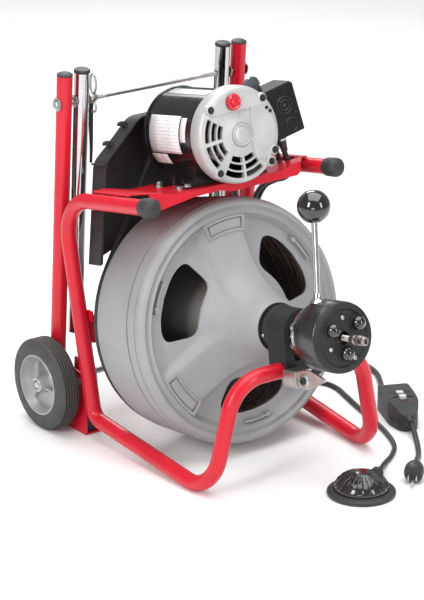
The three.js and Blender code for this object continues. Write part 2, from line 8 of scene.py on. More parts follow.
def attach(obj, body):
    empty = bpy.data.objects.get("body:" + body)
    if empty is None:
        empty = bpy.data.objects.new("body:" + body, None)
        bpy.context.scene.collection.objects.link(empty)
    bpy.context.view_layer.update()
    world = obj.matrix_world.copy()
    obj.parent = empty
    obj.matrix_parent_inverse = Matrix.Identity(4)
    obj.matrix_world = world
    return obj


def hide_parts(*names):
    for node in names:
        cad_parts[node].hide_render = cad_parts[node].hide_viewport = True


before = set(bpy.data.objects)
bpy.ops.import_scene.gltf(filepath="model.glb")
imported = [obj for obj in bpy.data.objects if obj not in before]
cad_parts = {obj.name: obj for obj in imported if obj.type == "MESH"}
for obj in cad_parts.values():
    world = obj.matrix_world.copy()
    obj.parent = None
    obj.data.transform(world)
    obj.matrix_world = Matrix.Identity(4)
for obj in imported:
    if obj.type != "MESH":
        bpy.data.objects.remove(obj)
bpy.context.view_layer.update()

toMetres = 0.001  # shapes are worked out in millimetres and put down in metres
tilt = math.radians(11)  # the drum, the motor and the grips lean up towards the outlet
frontBendX = 100.738


def tiltedFrame(x, z):
    return Matrix.Translation((x + frontBendX, 0, z)) @ Matrix.Rotation(-tilt, 4, "Y")


machineFrame = Matrix.Translation((frontBendX, 0, 0))
drumFrame = tiltedFrame(-88.8, 215.8)
gripFrame = tiltedFrame(-90, 438.8)
motorFrame = gripFrame @ Matrix.Translation((0, 9, 81.7))

# camera, light and floor

studio = {"paper": (0.93, 0.93, 0.93, 1), "sky": (1, 1, 1, 1), "skyStrength": 0.35, "overhead": 104,
          "left": 56, "right": 27, "low": 9, "back": 26}


def addCamera():
    camera = bpy.data.objects.new("camera", bpy.data.cameras.new("camera"))
    bpy.context.scene.collection.objects.link(camera)
    camera.location = (3.5854, -2.6739, 1.8674)
    camera.rotation_euler = (math.radians(90 - 19.9), 0, math.radians(53.8))
    camera.data.lens = 180
    camera.data.clip_start = 0.1
    camera.data.clip_end = 60
    bpy.context.scene.camera = camera


def addLamp(name, place, aim, size, power):
    lamp = bpy.data.objects.new(name, bpy.data.lights.new(name, "AREA"))
    lamp.data.shape = "RECTANGLE"
    lamp.data.size, lamp.data.size_y = size
    lamp.data.energy = power
    lamp.location = place
    lamp.rotation_euler = (Vector(aim) - Vector(place)).to_track_quat("-Z", "Y").to_euler()
    bpy.context.scene.collection.objects.link(lamp)


def addStudio():
    world = bpy.data.worlds.new("studio")
    bpy.context.scene.world = world
    world.use_nodes = True
    background = world.node_tree.nodes["Background"]
    background.inputs["Color"].default_value = studio["sky"]
    background.inputs["Strength"].default_value = studio["skyStrength"]
    middle = (0, 0, 0.3)
    addLamp("overheadLight", (0.2, 0.1, 2.9), (0.1, 0, 0), (3.2, 3.2), studio["overhead"])
    addLamp("leftLight", (0.9, -3.0, 1.9), middle, (0.7, 1.7), studio["left"])
    addLamp("rightLight", (3.1, 0.9, 1.5), middle, (0.6, 1.7), studio["right"])
    addLamp("lowLight", (2.6, -2.2, 0.6), middle, (1.2, 0.5), studio["low"])
    addLamp("backLight", (-2.4, 1.2, 2.0), middle, (1.4, 1.0), studio["back"])
    bpy.context.scene.view_settings.view_transform = "Standard"
    paper = bpy.data.meshes.new("floor")
    paper.from_pydata([(-30, -30, 0), (30, -30, 0), (30, 30, 0), (-30, 30, 0)], [], [(0, 1, 2, 3)])
    floor = bpy.data.objects.new("floor", paper)
    bpy.context.scene.collection.objects.link(floor)
    finish = bpy.data.materials.new("paper")
    finish.use_nodes = True
    shader = finish.node_tree.nodes["Principled BSDF"]
    shader.inputs["Base Color"].default_value = studio["paper"]
    shader.inputs["Roughness"].default_value = 0.9
    paper.materials.append(finish)


addCamera()
addStudio()
print("camera and studio ready")

# finishes


def addNode(tree, kind, **values):
    node = tree.nodes.new(kind)
    for name, value in values.items():
        if hasattr(node, name):
            setattr(node, name, value)
        else:
            node.inputs[name.replace("_", " ")].default_value = value
    return node


def mixColors(tree, factor, first, second):
    mix = addNode(tree, "ShaderNodeMix", data_type="RGBA")
    tree.links.new(factor, mix.inputs[0])
    for socket, value in ((mix.inputs[6], first), (mix.inputs[7], second)):
        if isinstance(value, tuple):
            socket.default_value = (*value, 1)
        else:
            tree.links.new(value, socket)
    return mix.outputs[2]


def remap(tree, value, low, high, newLow, newHigh):
    node = addNode(tree, "ShaderNodeMapRange")
    for socket, number in zip(node.inputs[1:5], (low, high, newLow, newHigh)):
        socket.default_value = number
    tree.links.new(value, node.inputs[0])
    return node.outputs[0]


def noiseOver(tree, where, scale, detail=3.0, roughness=0.55):
    node = addNode(tree, "ShaderNodeTexNoise", Scale=scale, Detail=detail, Roughness=roughness)
    tree.links.new(where, node.inputs["Vector"])
    return node.outputs["Fac"]


def makeFinish(name, color, second, roughness, metallic=0.0, blotch=18.0, grain=900.0, grainDepth=0.00004,
               coat=0.0, coatRoughness=0.1, topLightColor=None, specular=0.5, build=None):
    finish = bpy.data.materials.new(name)
    finish.use_nodes = True
    tree = finish.node_tree
    shader = tree.nodes["Principled BSDF"]
    where = addNode(tree, "ShaderNodeTexCoord").outputs["Object"]
    patches = noiseOver(tree, where, blotch)
    base = mixColors(tree, remap(tree, patches, 0.35, 0.65, 0, 1), color, second)
    if topLightColor:  # painted top light: faces that look up are mixed towards a lighter colour, as if lit from above
        normal = addNode(tree, "ShaderNodeNewGeometry").outputs["Normal"]
        split = addNode(tree, "ShaderNodeSeparateXYZ")
        tree.links.new(normal, split.inputs[0])
        base = mixColors(tree, remap(tree, split.outputs["Z"], 0.4, 1.3, 0, 1), base, topLightColor)
    fine = noiseOver(tree, where, grain, 2.0)
    spread = remap(tree, noiseOver(tree, where, blotch * 4), 0.3, 0.7, roughness[0], roughness[1])
    tree.links.new(spread, shader.inputs["Roughness"])
    height = fine
    if build:
        base, height = build(tree, where, base, fine)
    tree.links.new(base, shader.inputs["Base Color"])
    bump = addNode(tree, "ShaderNodeBump", Strength=1.0, Distance=grainDepth)
    tree.links.new(height, bump.inputs["Height"])
    tree.links.new(bump.outputs[0], shader.inputs["Normal"])
    shader.inputs["Metallic"].default_value = metallic
    shader.inputs["Coat Weight"].default_value = coat
    shader.inputs["Coat Roughness"].default_value = coatRoughness
    shader.inputs["Specular IOR Level"].default_value = specular
    return finish


def wireWrapWithPaintedHighlight(tree, where, base, fine):
    along = addNode(tree, "ShaderNodeUVMap", uv_map="along").outputs[0]
    wave = addNode(tree, "ShaderNodeTexWave", wave_type="BANDS", bands_direction="X", Scale=1.0, Distortion=0.0)
    tree.links.new(along, wave.inputs["Vector"])
    crest = wave.outputs["Fac"]
    # painted highlight: the crest of each wire wrap is mixed towards a lighter colour, as light would catch it; the
    # same wave also gives the bump height
    return mixColors(tree, remap(tree, crest, 0.55, 1.0, 0, 1), base, (0.34, 0.26, 0.22)), crest


def printedLines(tree, where, base, fine):
    along = addNode(tree, "ShaderNodeUVMap", uv_map="along").outputs[0]
    split = addNode(tree, "ShaderNodeSeparateXYZ")
    tree.links.new(along, split.inputs[0])
    rows = addNode(tree, "ShaderNodeMath", operation="PINGPONG")
    rows.inputs[1].default_value = 0.045
    tree.links.new(split.outputs["Y"], rows.inputs[0])
    dark = remap(tree, rows.outputs[0], 0.030, 0.034, 0, 0.55)
    words = remap(tree, noiseOver(tree, along, 26, 1.0), 0.48, 0.5, 0, 1)
    inside = addNode(tree, "ShaderNodeMath", operation="MULTIPLY")
    tree.links.new(dark, inside.inputs[0])
    tree.links.new(words, inside.inputs[1])
    return mixColors(tree, inside.outputs[0], base, (0.25, 0.25, 0.27)), fine


redPaint = makeFinish("redPaint", (0.62, 0.008, 0.026), (0.55, 0.006, 0.021), (0.3, 0.4), blotch=9, grain=420,
                      grainDepth=0.00006, coat=0.3, coatRoughness=0.16, specular=0.3)
drumPlastic = makeFinish("drumPlastic", (0.315, 0.318, 0.325), (0.285, 0.288, 0.295), (0.42, 0.55), blotch=12,
                         grain=1500, grainDepth=0.00009, specular=0.45)
# darkPlastic carries painted top light: faces that look up are mixed towards a lighter colour
darkPlastic = makeFinish("darkPlastic", (0.022, 0.021, 0.021), (0.032, 0.031, 0.031), (0.38, 0.55), grain=1300,
                         grainDepth=0.00008, topLightColor=(0.035, 0.035, 0.037), specular=0.3)
innerPlastic = makeFinish("innerPlastic", (0.17, 0.16, 0.155), (0.14, 0.132, 0.128), (0.3, 0.42), grain=1100,
                          grainDepth=0.00006)
castBlack = makeFinish("castBlack", (0.018, 0.018, 0.019), (0.028, 0.028, 0.030), (0.40, 0.56), grain=700,
                       grainDepth=0.00014, specular=0.3)
glossBlack = makeFinish("glossBlack", (0.006, 0.006, 0.006), (0.009, 0.009, 0.009), (0.05, 0.10), grain=300,
                        grainDepth=0.00001, coat=1.0, coatRoughness=0.03)
motorBlack = makeFinish("motorBlack", (0.008, 0.008, 0.009), (0.012, 0.012, 0.013), (0.18, 0.28), grain=500,
                        grainDepth=0.00003, coat=0.35, coatRoughness=0.08, specular=0.3)
bellMetal = makeFinish("bellMetal", (0.52, 0.52, 0.515), (0.45, 0.45, 0.445), (0.38, 0.52), metallic=0.35,
                       grain=850, grainDepth=0.00016, blotch=26)
platePaint = makeFinish("platePaint", (0.46, 0.47, 0.47), (0.54, 0.55, 0.55), (0.3, 0.4), metallic=0.3,
                        grain=1200, grainDepth=0.00008)
chrome = makeFinish("chrome", (0.58, 0.585, 0.59), (0.52, 0.525, 0.53), (0.09, 0.18), metallic=1, grain=1800,
                    grainDepth=0.00001, blotch=40)
satinBlack = makeFinish("satinBlack", (0.10, 0.099, 0.099), (0.07, 0.069, 0.069), (0.24, 0.33), metallic=0.9,
                        grain=1800, grainDepth=0.00003)
smokePlastic = makeFinish("smokePlastic", (0.10, 0.125, 0.14), (0.05, 0.06, 0.07), (0.12, 0.2), grain=500,
                          grainDepth=0.00002, coat=0.5)
zinc = makeFinish("zinc", (0.56, 0.555, 0.54), (0.42, 0.42, 0.41), (0.28, 0.42), metallic=1, grain=1400,
                  grainDepth=0.00004, blotch=60)
steel = makeFinish("steel", (0.40, 0.37, 0.35), (0.28, 0.24, 0.22), (0.28, 0.42), metallic=0.95, grain=1400,
                   grainDepth=0.00006, blotch=70)
# tyreRubber carries painted top light: faces that look up are mixed towards a lighter colour
tyreRubber = makeFinish("tyreRubber", (0.060, 0.059, 0.059), (0.048, 0.047, 0.047), (0.55, 0.75), grain=1200,
                        grainDepth=0.0001, topLightColor=(0.10, 0.098, 0.095))
hubPaint = makeFinish("hubPaint", (0.40, 0.40, 0.405), (0.33, 0.33, 0.335), (0.32, 0.5), metallic=0.35,
                      grain=900, grainDepth=0.00012, blotch=30)
gripRubber = makeFinish("gripRubber", (0.022, 0.023, 0.024), (0.035, 0.036, 0.037), (0.5, 0.68), grain=800,
                        grainDepth=0.00016)
cordRubber = makeFinish("cordRubber", (0.040, 0.040, 0.042), (0.030, 0.030, 0.032), (0.38, 0.52), grain=900,
                        grainDepth=0.00008, specular=0.35)
shinyRubber = makeFinish("shinyRubber", (0.012, 0.011, 0.011), (0.018, 0.017, 0.017), (0.12, 0.22), grain=700,
                         grainDepth=0.00003, coat=0.6, coatRoughness=0.1)
redPlastic = makeFinish("redPlastic", (0.62, 0.010, 0.03), (0.55, 0.008, 0.025), (0.16, 0.24), grain=600,
                        grainDepth=0.00002, coat=0.6, coatRoughness=0.06)
keyPlastic = makeFinish("keyPlastic", (0.62, 0.62, 0.61), (0.56, 0.56, 0.55), (0.3, 0.4), grain=900,
                        grainDepth=0.00003)
# wrappedSteel has a painted highlight on the crest of each wire wrap
wrappedSteel = makeFinish("wrappedSteel", (0.035, 0.025, 0.021), (0.055, 0.040, 0.034), (0.24, 0.38),
                          metallic=0.5, grain=900, grainDepth=0.0005, build=wireWrapWithPaintedHighlight)
labelFilm = makeFinish("labelFilm", (0.80, 0.80, 0.80), (0.76, 0.76, 0.765), (0.28, 0.36), grain=500,
                       grainDepth=0.00001, coat=0.3, build=printedLines)
beltRubber = makeFinish("beltRubber", (0.014, 0.013, 0.013), (0.022, 0.021, 0.021), (0.5, 0.7), grain=900,
                        grainDepth=0.0001)
print("finishes ready")

# shapes: each is a pair of points and faces, in millimetres


def lathe(profile, sides=96, closed=False, axis="X"):
    points, faces, rows = [], [], []
    for along, radius in profile:
        row = []
        for i in range(sides if radius > 1e-6 else 1):
            angle = 2 * math.pi * i / sides
            row.append(len(points))
            points.append((along, radius * math.cos(angle), radius * math.sin(angle)))
        rows.append(row)
    pairs = list(zip(rows, rows[1:])) + ([(rows[-1], rows[0])] if closed else [])
    for first, second in pairs:
        for i in range(sides):
            a, b = first[i % len(first)], first[(i + 1) % len(first)]
            c, d = second[(i + 1) % len(second)], second[i % len(second)]
            corners = [v for k, v in enumerate((a, b, c, d)) if v not in (a, b, c, d)[:k]]
            if len(corners) > 2:
                faces.append(tuple(corners))
    if axis == "Y":
        points = [(y, x, z) for x, y, z in points]
    if axis == "Z":
        points = [(y, z, x) for x, y, z in points]
    return points, faces


def prism(outline, low, high, axis="X"):
    count = len(outline)
    points = [(low, a, b) for a, b in outline] + [(high, a, b) for a, b in outline]
    faces = [tuple(range(count)), tuple(range(2 * count - 1, count - 1, -1))]
    faces += [(i, (i + 1) % count, count + (i + 1) % count, count + i) for i in range(count)]
    if axis == "Y":  # outline is X and Z
        points = [(a, x, b) for x, a, b in points]
    if axis == "Z":  # outline is X and Y
        points = [(a, b, x) for x, a, b in points]
    return points, faces


def block(x0, x1, y0, y1, z0, z1):
    return prism([(y0, z0), (y1, z0), (y1, z1), (y0, z1)], x0, x1)


def rod(axis, radius, low, high, sides=32):
    return lathe([(low, 0), (low, radius), (high, radius), (high, 0)], sides, axis=axis)


def moved(shape, matrix):
    return [tuple(matrix @ Vector(p)) for p in shape[0]], shape[1]


def shifted(shape, x, y, z):
    return moved(shape, Matrix.Translation((x, y, z)))


def joined(*shapes):
    points, faces = [], []
    for shape in shapes:
        start = len(points)
        points += list(shape[0])
        faces += [tuple(start + i for i in face) for face in shape[1]]
    return points, faces


def rounded(outline, radius, steps=5):
    result = []
    count = len(outline)
    for i in range(count):
        corner = Vector(outline[i])
        before, after = Vector(outline[i - 1]) - corner, Vector(outline[(i + 1) % count]) - corner
        reach = radius[i] if isinstance(radius, (list, tuple)) else radius
        reach = min(reach, 0.48 * before.length, 0.48 * after.length)
        a, b = corner + before.normalized() * reach, corner + after.normalized() * reach
        for k in range(steps + 1):
            t = k / steps
            point = a * (1 - t) ** 2 + corner * 2 * t * (1 - t) + b * t * t
            result.append((point.x, point.y))
    return result


def arcSector(inner, outer, start, end, steps=14):
    def arc(radius, a, b):
        turns = [a + (b - a) * i / steps for i in range(steps + 1)]
        return [(radius * math.cos(math.radians(t)), radius * math.sin(math.radians(t))) for t in turns]
    return arc(outer, start, end) + arc(inner, end, start)


def bentPath(corners, radii, turnStep=6):
    corners = [Vector(c) for c in corners]
    path = [corners[0]]
    for i, radius in enumerate(radii):
        corner = corners[i + 1]
        inward = (corner - corners[i]).normalized()
        outward = (corners[i + 2] - corner).normalized()
        turn = inward.angle(outward)
        reach = radius * math.tan(turn / 2)
        start = corner - inward * reach
        side = (outward - inward * inward.dot(outward)).normalized()
        steps = max(3, math.ceil(math.degrees(turn) / turnStep))
        for k in range(steps + 1):
            angle = turn * k / steps
            path.append(start + inward * radius * math.sin(angle) + side * radius * (1 - math.cos(angle)))
    path.append(corners[-1])
    return path


def sweep(path, radius, sides=24, closed=False):
    count = len(path)
    radii = radius if isinstance(radius, (list, tuple)) else [radius] * count
    points, normal = [], None
    for i, place in enumerate(path):
        before = path[i - 1] if i or closed else path[i]
        after = path[(i + 1) % count] if i < count - 1 or closed else path[i]
        along = (after - before).normalized()
        if normal is None:
            normal = along.orthogonal().normalized()
        normal = (normal - along * normal.dot(along)).normalized()
        across = along.cross(normal)
        for k in range(sides):
            angle = 2 * math.pi * k / sides
            points.append(tuple(place + (normal * math.cos(angle) + across * math.sin(angle)) * radii[i]))
    faces = []
    for i in range(count if closed else count - 1):
        a, b = i * sides, (i + 1) % count * sides
        faces += [(a + k, a + (k + 1) % sides, b + (k + 1) % sides, b + k) for k in range(sides)]
    if not closed:
        faces += [tuple(range(sides - 1, -1, -1)), tuple(range((count - 1) * sides, count * sides))]
    return points, faces


def meshOf(name, shape, place=None):
    points = [tuple((place @ Vector(p) if place else Vector(p)) * toMetres) for p in shape[0]]
    mesh = bpy.data.meshes.new(name)
    mesh.from_pydata(points, [], shape[1])
    tool = bmesh.new()
    tool.from_mesh(mesh)
    bmesh.ops.remove_doubles(tool, verts=tool.verts, dist=1e-7)
    bmesh.ops.recalc_face_normals(tool, faces=tool.faces)
    tool.to_mesh(mesh)
    tool.free()
    return mesh


def carved(shape, *tools):
    things = []
    for part in (shape, *tools):
        thing = bpy.data.objects.new("carving", meshOf("carving", part))
        bpy.context.scene.collection.objects.link(thing)
        things.append(thing)
    body = things[0]
    for tool in things[1:]:
        cut = body.modifiers.new("cut", "BOOLEAN")
        cut.operation = "DIFFERENCE"
        cut.solver = "EXACT"
        cut.object = tool
    evaluated = body.evaluated_get(bpy.context.evaluated_depsgraph_get())
    mesh = bpy.data.meshes.new_from_object(evaluated)
    points = [tuple(v.co / toMetres) for v in mesh.vertices]
    faces = [tuple(p.vertices) for p in mesh.polygons]
    for thing in things:
        bpy.data.objects.remove(thing)
    return points, faces


def addPiece(name, shape, place, finish, body, replaced=(), bevel=0.0, sharp=34, extra=()):
    mesh = meshOf(name, shape, place)
    mesh.materials.append(finish)
    for number, (other, otherFinish) in enumerate(extra, 1):
        addition = meshOf("addition", other, place)
        tool = bmesh.new()
        tool.from_mesh(mesh)
        known = len(tool.faces)
        tool.from_mesh(addition)
        for face in list(tool.faces)[known:]:
            face.material_index = number
        tool.to_mesh(mesh)
        tool.free()
        mesh.materials.append(otherFinish)
    mesh.shade_smooth()
    mesh.set_sharp_from_angle(angle=math.radians(sharp))
    thing = bpy.data.objects.new(name, mesh)
    bpy.context.scene.collection.objects.link(thing)
    if bevel:
        edge = thing.modifiers.new("edge", "BEVEL")
        edge.width = bevel * toMetres
        edge.segments = 2
        edge.limit_method = "ANGLE"
        edge.angle_limit = math.radians(sharp)
        edge.harden_normals = True
    if replaced:
        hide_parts(*([replaced] if isinstance(replaced, str) else replaced))
    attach(thing, body)
    return thing


def around(count, make, start=0.0):
    return joined(*[moved(make, Matrix.Rotation(math.radians(start + 360 * i / count), 4,
                                                "X")) for i in range(count)])


# Geometry Nodes: copies of one shape set round an axis


def ringTree(name):
    tree = bpy.data.node_groups.new(name, "GeometryNodeTree")
    face = tree.interface
    face.new_socket("Geometry", in_out="OUTPUT", socket_type="NodeSocketGeometry")
    face.new_socket("Shape", in_out="INPUT", socket_type="NodeSocketObject")
    face.new_socket("Count", in_out="INPUT", socket_type="NodeSocketInt")
    face.new_socket("First Angle", in_out="INPUT", socket_type="NodeSocketFloat")
    face.new_socket("Step Angle", in_out="INPUT", socket_type="NodeSocketFloat")
    face.new_socket("Finish", in_out="INPUT", socket_type="NodeSocketMaterial")
    source = tree.nodes.new("NodeGroupInput")
    target = tree.nodes.new("NodeGroupOutput")
    line = tree.nodes.new("GeometryNodeMeshLine")
    line.inputs["Offset"].default_value = (0, 0, 0)
    toPoints = tree.nodes.new("GeometryNodeMeshToPoints")
    index = tree.nodes.new("GeometryNodeInputIndex")
    turn = tree.nodes.new("ShaderNodeMath")
    turn.operation = "MULTIPLY_ADD"
    spin = tree.nodes.new("ShaderNodeCombineXYZ")
    info = tree.nodes.new("GeometryNodeObjectInfo")
    copies = tree.nodes.new("GeometryNodeInstanceOnPoints")
    realize = tree.nodes.new("GeometryNodeRealizeInstances")
    paint = tree.nodes.new("GeometryNodeSetMaterial")
    link = tree.links.new
    link(source.outputs["Count"], line.inputs["Count"])
    link(line.outputs[0], toPoints.inputs[0])
    link(index.outputs[0], turn.inputs[0])
    link(source.outputs["Step Angle"], turn.inputs[1])
    link(source.outputs["First Angle"], turn.inputs[2])
    link(turn.outputs[0], spin.inputs["X"])
    link(toPoints.outputs[0], copies.inputs["Points"])
    link(source.outputs["Shape"], info.inputs["Object"])
    link(info.outputs["Geometry"], copies.inputs["Instance"])
    link(spin.outputs[0], copies.inputs["Rotation"])
    link(copies.outputs[0], realize.inputs[0])
    link(realize.outputs[0], paint.inputs["Geometry"])
    link(source.outputs["Finish"], paint.inputs["Material"])
    link(paint.outputs[0], target.inputs[0])
    return tree


ringOfCopies = ringTree("ringOfCopies")


def addRing(name, shape, count, firstAngle, stepAngle, place, finish, body, sharp=34):
    pattern = bpy.data.objects.new("pattern", meshOf("pattern", shape))
    holder = bpy.data.objects.new("holder", bpy.data.meshes.new("holder"))
    for thing in (pattern, holder):
        bpy.context.scene.collection.objects.link(thing)
    modifier = holder.modifiers.new("ring", "NODES")
    modifier.node_group = ringOfCopies
    values = {"Shape": pattern, "Count": count, "First Angle": math.radians(firstAngle),
              "Step Angle": math.radians(stepAngle), "Finish": finish}
    for item in ringOfCopies.interface.items_tree:
        if item.in_out == "INPUT":
            modifier[item.identifier] = values[item.name]
    evaluated = holder.evaluated_get(bpy.context.evaluated_depsgraph_get())
    mesh = bpy.data.meshes.new_from_object(evaluated)
    mesh.transform(Matrix.Scale(toMetres, 4) @ place @ Matrix.Scale(1 / toMetres, 4))
    if not mesh.materials:
        mesh.materials.append(finish)
    mesh.shade_smooth()
    mesh.set_sharp_from_angle(angle=math.radians(sharp))
    bpy.data.objects.remove(holder)
    bpy.data.objects.remove(pattern)
    thing = bpy.data.objects.new(name, mesh)
    bpy.context.scene.collection.objects.link(thing)
    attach(thing, body)
    return thing


def boltHead(radius, height, socket=True, sides=24):
    dome = [(0, 0), (0, radius), (height * 0.55, radius), (height, radius * 0.72)]
    if socket:
        dome += [(height, radius * 0.42), (height * 0.45, radius * 0.38), (height * 0.45, 0)]
    else:
        dome += [(height, 0)]
    return lathe(dome, sides)


def hexHead(radius, height):
    head = lathe([(0, 0), (0, radius), (height * 0.8, radius), (height, radius * 0.86), (height, 0)], 6)
    washer = lathe([(-0.2, 0), (-0.2, radius * 1.5), (0.9, radius * 1.5), (0.9, 0)], 28)
    return joined(head, washer)


# cords

powerCord = {"diameter": 9.0, "down": [(-163.9, 134.7, 472.6), (-162.5, 137, 461), (-160, 141, 446),
                                       (-158.5, 148, 430), (-164, 152, 416), (-182, 154, 402),
                                       (-208, 156, 391), (-238, 158, 373), (-259, 158, 342), (-270, 157.5,
                                                                                              308),
                                       (-276, 156.5, 272), (-272, 153, 221), (-262, 150.5, 162),
                                       (-254, 151, 102), (-252.5, 152.5, 60), (-254, 156, 32),
                                       (-257.5, 163.5, 13), (-261, 177, 5.4), (-265, 195, 5),
                                       (-270, 213, 5), (-281, 229, 5), (-300, 237.5, 5), (-325, 240.8, 5),
                                       (-352, 242, 5)], "coil": {"centre": (-385, 300), "radii": (49.2,
                                                                                                  58.6),
                                                                 "rows": 4, "pitch": 9.3, "start": -82,
                                                                 "lastTurn": 188 / 360},
             "tail": [(-366, 362, 31), (-340, 368, 20), (-312, 375, 9.5), (-282, 381, 5.2), (-245, 384.5,
                                                                                             5),
                      (-205, 375, 5), (-172, 356, 5.4), (-148, 339.5, 8), (-124, 324, 13), (-96.3, 310.6,
                                                                                            18.2)],}
plugCord = {"diameter": 9.0, "route": [(23.6, 259.1, 18.2), (34, 254.6, 16), (48, 247.6, 11),
                                       (66, 237, 6.4), (88, 222, 5), (108, 206.5, 5), (124, 192.5, 7.5),
                                       (138, 178.6, 12), (154.5, 162.5, 16)]}
airHose = {"diameter": 8.0, "route": [(-185.4, 134.7, 468.5), (-183.5, 137, 457), (-181.5, 141, 442),
                                      (-181.5, 145.5, 426), (-187, 145.5, 411), (-203, 145.5, 397),
                                      (-226, 147, 382), (-246, 148, 362), (-260, 148, 333),
                                      (-269, 148, 305), (-275, 146.5, 274), (-270.5, 141, 221),
                                      (-262, 139, 162), (-253, 141, 102), (-248, 143, 52), (-246.5, 147,
                                                                                            24),
                                      (-246, 157, 9), (-245.5, 174, 4.6), (-246.5, 200, 4.4),
                                      (-246, 228, 4.4), (-241, 256, 4.4), (-222, 276, 4.4), (-192, 278.5,
                                                                                             4.4),
                                      (-157, 269, 4.4), (-93, 250, 4.4), (-25, 232, 4.4), (26, 214, 4.4),
                                      (64, 193, 4.4), (90, 165, 4.4), (105, 142, 5), (119, 124, 7.5),
                                      (132, 109.5, 11), (145.2, 96.6, 13)],}


def coilTurns(coil, diameter):
    perTurn, bendStart = 20, 0.72  # each turn moves over to the next in its last part
    inner, outer = coil["radii"]
    points = []
    angle = coil["start"]
    height = diameter / 2 + 0.5
    for level in range(coil["rows"]):
        order = (outer, inner) if level % 2 == 0 else (inner, outer)
        for turn, radius in enumerate(order):
            last = level == coil["rows"] - 1 and turn == 1
            steps = round(perTurn * (coil["lastTurn"] if last else 1.0))
            for k in range(steps):
                share = max(0.0, (k / steps - bendStart) / (1 - bendStart))
                bend = share * share * (3 - 2 * share)
                r = radius + (order[1] - radius) * bend
                z = height + (coil["pitch"] * bend if turn == 1 and not last else 0)
                a = math.radians(angle - 360 * k / perTurn)
                points.append((coil["centre"][0] + r * math.cos(a), coil["centre"][1] + r * math.sin(a), z))
            angle -= 360 * steps / perTurn
        height += coil["pitch"]
    return points


def smoothLine(points, step=4.0):
    knots = [Vector(p) for p in points]
    knots = [knots[0] * 2 - knots[1]] + knots + [knots[-1] * 2 - knots[-2]]
    line = []
    for a, b, c, d in zip(knots, knots[1:], knots[2:], knots[3:]):
        count = max(2, round((c - b).length / step))
        for k in range(count):
            t = k / count
            line.append(0.5 * (2 * b + (c - a) * t + (2 * a - 5 * b + 4 * c - d) * t * t
                               + (3 * b - a - 3 * c + d) * t ** 3))
    line.append(knots[-2])
    return line


def addCord(name, points, diameter, replaced):
    line = smoothLine(points)
    thing = addPiece(name, sweep(line, diameter / 2, 14), machineFrame, cordRubber, "frame",
                     replaced)


def addCords():
    coil = coilTurns(powerCord["coil"], powerCord["diameter"])
    addCord("powerCordRun", powerCord["down"] + coil + powerCord["tail"], powerCord["diameter"],
            ("power_lead", "power_coil", "power_tail"))
    addCord("plugCordRun", plugCord["route"], plugCord["diameter"], "plug_lead")
    addCord("airHoseRun", airHose["route"], airHose["diameter"], "air_hose")


# plug, ground fault switch and foot pedal

gfci = {"centre": (-36.4, 284.8, 0), "turn": -23.3, "length": 126, "width": 50, "height": 46, "keysAt": (2, 19)}
pedal = {"centre": (171, 38.5, 0), "rim": 54, "ribs": 26, "inletTurn": 24}
plug = {"start": (155, 162, 16), "turn": -45}


def addPlug():
    place = machineFrame @ Matrix.Translation(plug["start"]) @ Matrix.Rotation(math.radians(plug["turn"]),
                                                                               4, "Z")
    sleeve = [(0, 0), (0, 5.6), (3, 6.2), (4, 5.4), (7, 6.6), (8, 5.8), (11, 7.2), (12, 6.4), (16, 8.2),
              (19, 10.5), (23, 14.2), (28, 15.6), (42, 15.8), (45, 15.2), (47, 14.2), (50, 13.6), (50, 0)]
    blades = joined(block(49, 68, -7, -5.4, -3.2, 3.2), block(49, 68, 5.4, 7, -3.2, 3.2),
                    shifted(lathe([(49, 0), (49, 2.4), (68, 2.4), (70, 1.2), (70, 0)], 20), 0, 0, -8))
    return addPiece("plugBody", lathe(sleeve, 48), place, cordRubber, "frame", "plug",
                    extra=[(blades, zinc)])


def addGfci():
    place = machineFrame @ Matrix.Translation(gfci["centre"]) @ Matrix.Rotation(math.radians(gfci["turn"]),
                                                                                4, "Z")
    half, wide, high = gfci["length"] / 2, gfci["width"] / 2, gfci["height"]
    hull = rounded([(-half, -11), (-half + 16, -wide), (half - 34, -wide), (half, -13), (half, 13), (half - 34, wide),
                    (-half + 16, wide), (-half, 11)], 11, 5)  # plan, tapering to the cord ends
    body = prism(hull, 0.3, high, "Z")
    side = rounded([(-half - 5, high + 9), (-half - 5, 26), (-half + 22, high - 0.4),
                    (half - 58, high - 0.4), (half - 14, high - 9), (half, 27), (half + 5, 16),
                    (half + 5, high + 9)], [1, 4, 14, 14, 10, 6, 4, 1], 5)
    pockets = [block(x - 5.4, x + 5.4, -6.4, 6.4, high - 8, high + 5) for x in gfci["keysAt"]]
    case = carved(body, prism(side, -60, 60, "Y"), *pockets)
    seam = prism([(x * 1.004, y * 1.012) for x, y in hull], 15, 16.2, "Z")
    glands = joined(lathe([(-half - 13, 0), (-half - 13, 6), (-half - 6, 8), (-half + 6, 10),
                           (-half + 6, 0)], 28), lathe([(half - 6, 0), (half - 6, 10.4), (half + 3, 9.4),
                                                        (half + 10, 6.4), (half + 10, 0)], 28))
    lamp = shifted(rod("Z", 1.8, 0, 1, 16), 31, 12, high - 5)
    piece = addPiece("gfciCase", case, place, cordRubber, "frame", "gfci_case", bevel=1.4,
                     sharp=40, extra=[(seam, darkPlastic), (shifted(glands, 0, 0, 18), cordRubber),
                                      (lamp, redPlastic)])
    for node, x, body in zip(("gfci_test_button", "gfci_reset_button"), gfci["keysAt"],
                             ("test_key", "reset_key")):
        key = prism(rounded([(x - 5, -6), (x + 5, -6), (x + 5, 6), (x - 5, 6)], 2.5, 4), high - 4.5,
                    high + 1.4, "Z")
        addPiece(node.replace("_button", "Key"), key, place, keyPlastic, body, node, bevel=0.7)
    return piece


